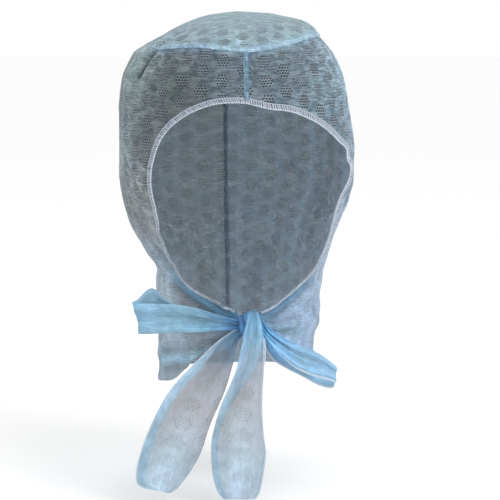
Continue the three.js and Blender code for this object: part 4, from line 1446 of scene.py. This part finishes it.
# %% Knot
KNOT_MIDDLE = np.array([1.8, -93.0, -224.2])
KNOT_HALF = np.array([9.6, 5.9, 8.6])
KNOT_SQUARE = 0.72        # 1 is a plain ellipsoid, less is squarer
KNOT_WAIST = 0.16         # how much narrower it is in its middle, as a share
CREASE_SPACING = 2.5      # how wide its creases are,
CREASE_SLANT = 0.34       # how much they slant,
CREASE_STAND = 1.15       # and how far they stand out


def knot_sheet():
    bpy.ops.mesh.primitive_uv_sphere_add(segments=112, ring_count=72, radius=1)
    knot = bpy.context.object
    knot.name = "knot_cloth"
    ball = np.array([v.co[:] for v in knot.data.vertices])
    square = np.sign(ball) * np.abs(ball) ** KNOT_SQUARE
    square[:, 0] *= 1 - KNOT_WAIST * (1 - np.clip(np.abs(square[:, 2]), 0, 1) ** 2)
    points = KNOT_MIDDLE + square * KNOT_HALF
    slanted = (points[:, 0] + CREASE_SLANT * (points[:, 2] - KNOT_MIDDLE[2])) / CREASE_SPACING
    creases = np.abs(np.sin(slanted + 0.5 * np.sin(points[:, 2] / 4))) ** 0.6 - 0.6
    stand = CREASE_STAND * creases + crumple(points) * 0.9
    points += unit(square) * stand[:, None]
    knot.data.vertices.foreach_set("co", (points * MM).ravel())
    layer = knot.data.uv_layers.active
    layer.name = "cloth"
    for loop in knot.data.loops:
        x, y, z = points[loop.vertex_index]
        layer.data[loop.index].uv = (x * MM, (z + y) * MM)
    knot.data.materials.append(tie_cloth)
    bpy.ops.object.shade_smooth()
    # Painted light and shade on the knot's creases: paler on their crests, darker in their hollows.
    add_numbers(knot.data, "tint", mottled_and_shaded(points, np.array(KNOT_TINT_AND_SHADE), 3 * stand))
    for key, value in {"contrast": 0.5, "cut": 0.0, "plies": 1.0}.items():
        add_numbers(knot.data, key, np.full(len(points), value))
    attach(knot, "root")
    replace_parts(knot, "tie_knot")
    print("knot", triangles(knot), "triangles")


knot_sheet()

# %% [markdown]
# ## Thread along the ties
# The free edges of the ties are overlocked as well, with a finer thread and shorter stitches.

# %% Tie edges
def tie_edge(name, made_strip, edge, scale, start=0):
    """Overlock along edge 0 or 1 of a strip, from one of its rows to the end."""
    _, edges, normals = made_strip
    way = 1 - 2 * edge                              # the free side stays to the right
    return overlock(name, edges[edge][start:][::way], normals[start:][::way], white_thread, white_thread,
                    inside=1.05 * scale, outside=0.4 * scale, pitch=1.35, radius=0.3 * scale, height=0.36)


loop_thread = tie_edge("loop_left_low_edge", loops["left"], 0, scale=0.85)
tail_right_thread = tie_edge("tail_right_edge", tails["right"], 1, scale=0.72)
tail_left_thread = tie_edge("tail_left_edge", tails["left"], 0, scale=0.95, start=34)

# %% [markdown]
# ## The pieces of cloth, and the box of the hood
# The side panels, the loops and the tails are named below, one by one. No piece is seen laid flat, so the
# sizes were chosen to fit the areas of the finished sheets. That the two agree is no test of either. The
# panels and the crown are curved cuts. At the end the box of the finished hood is set beside the box of the
# solids.

panels["right"]
panels["left"]
loops["right"][0]
loops["left"][0]
tails["right"][0]
tails["left"][0]

visual_low, visual_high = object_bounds()
{"cad": [list(cad_low), list(cad_high)], "visual": [list(visual_low), list(visual_high)]}
print("visual box:", [round(v, 3) for v in (*visual_low, *visual_high)])
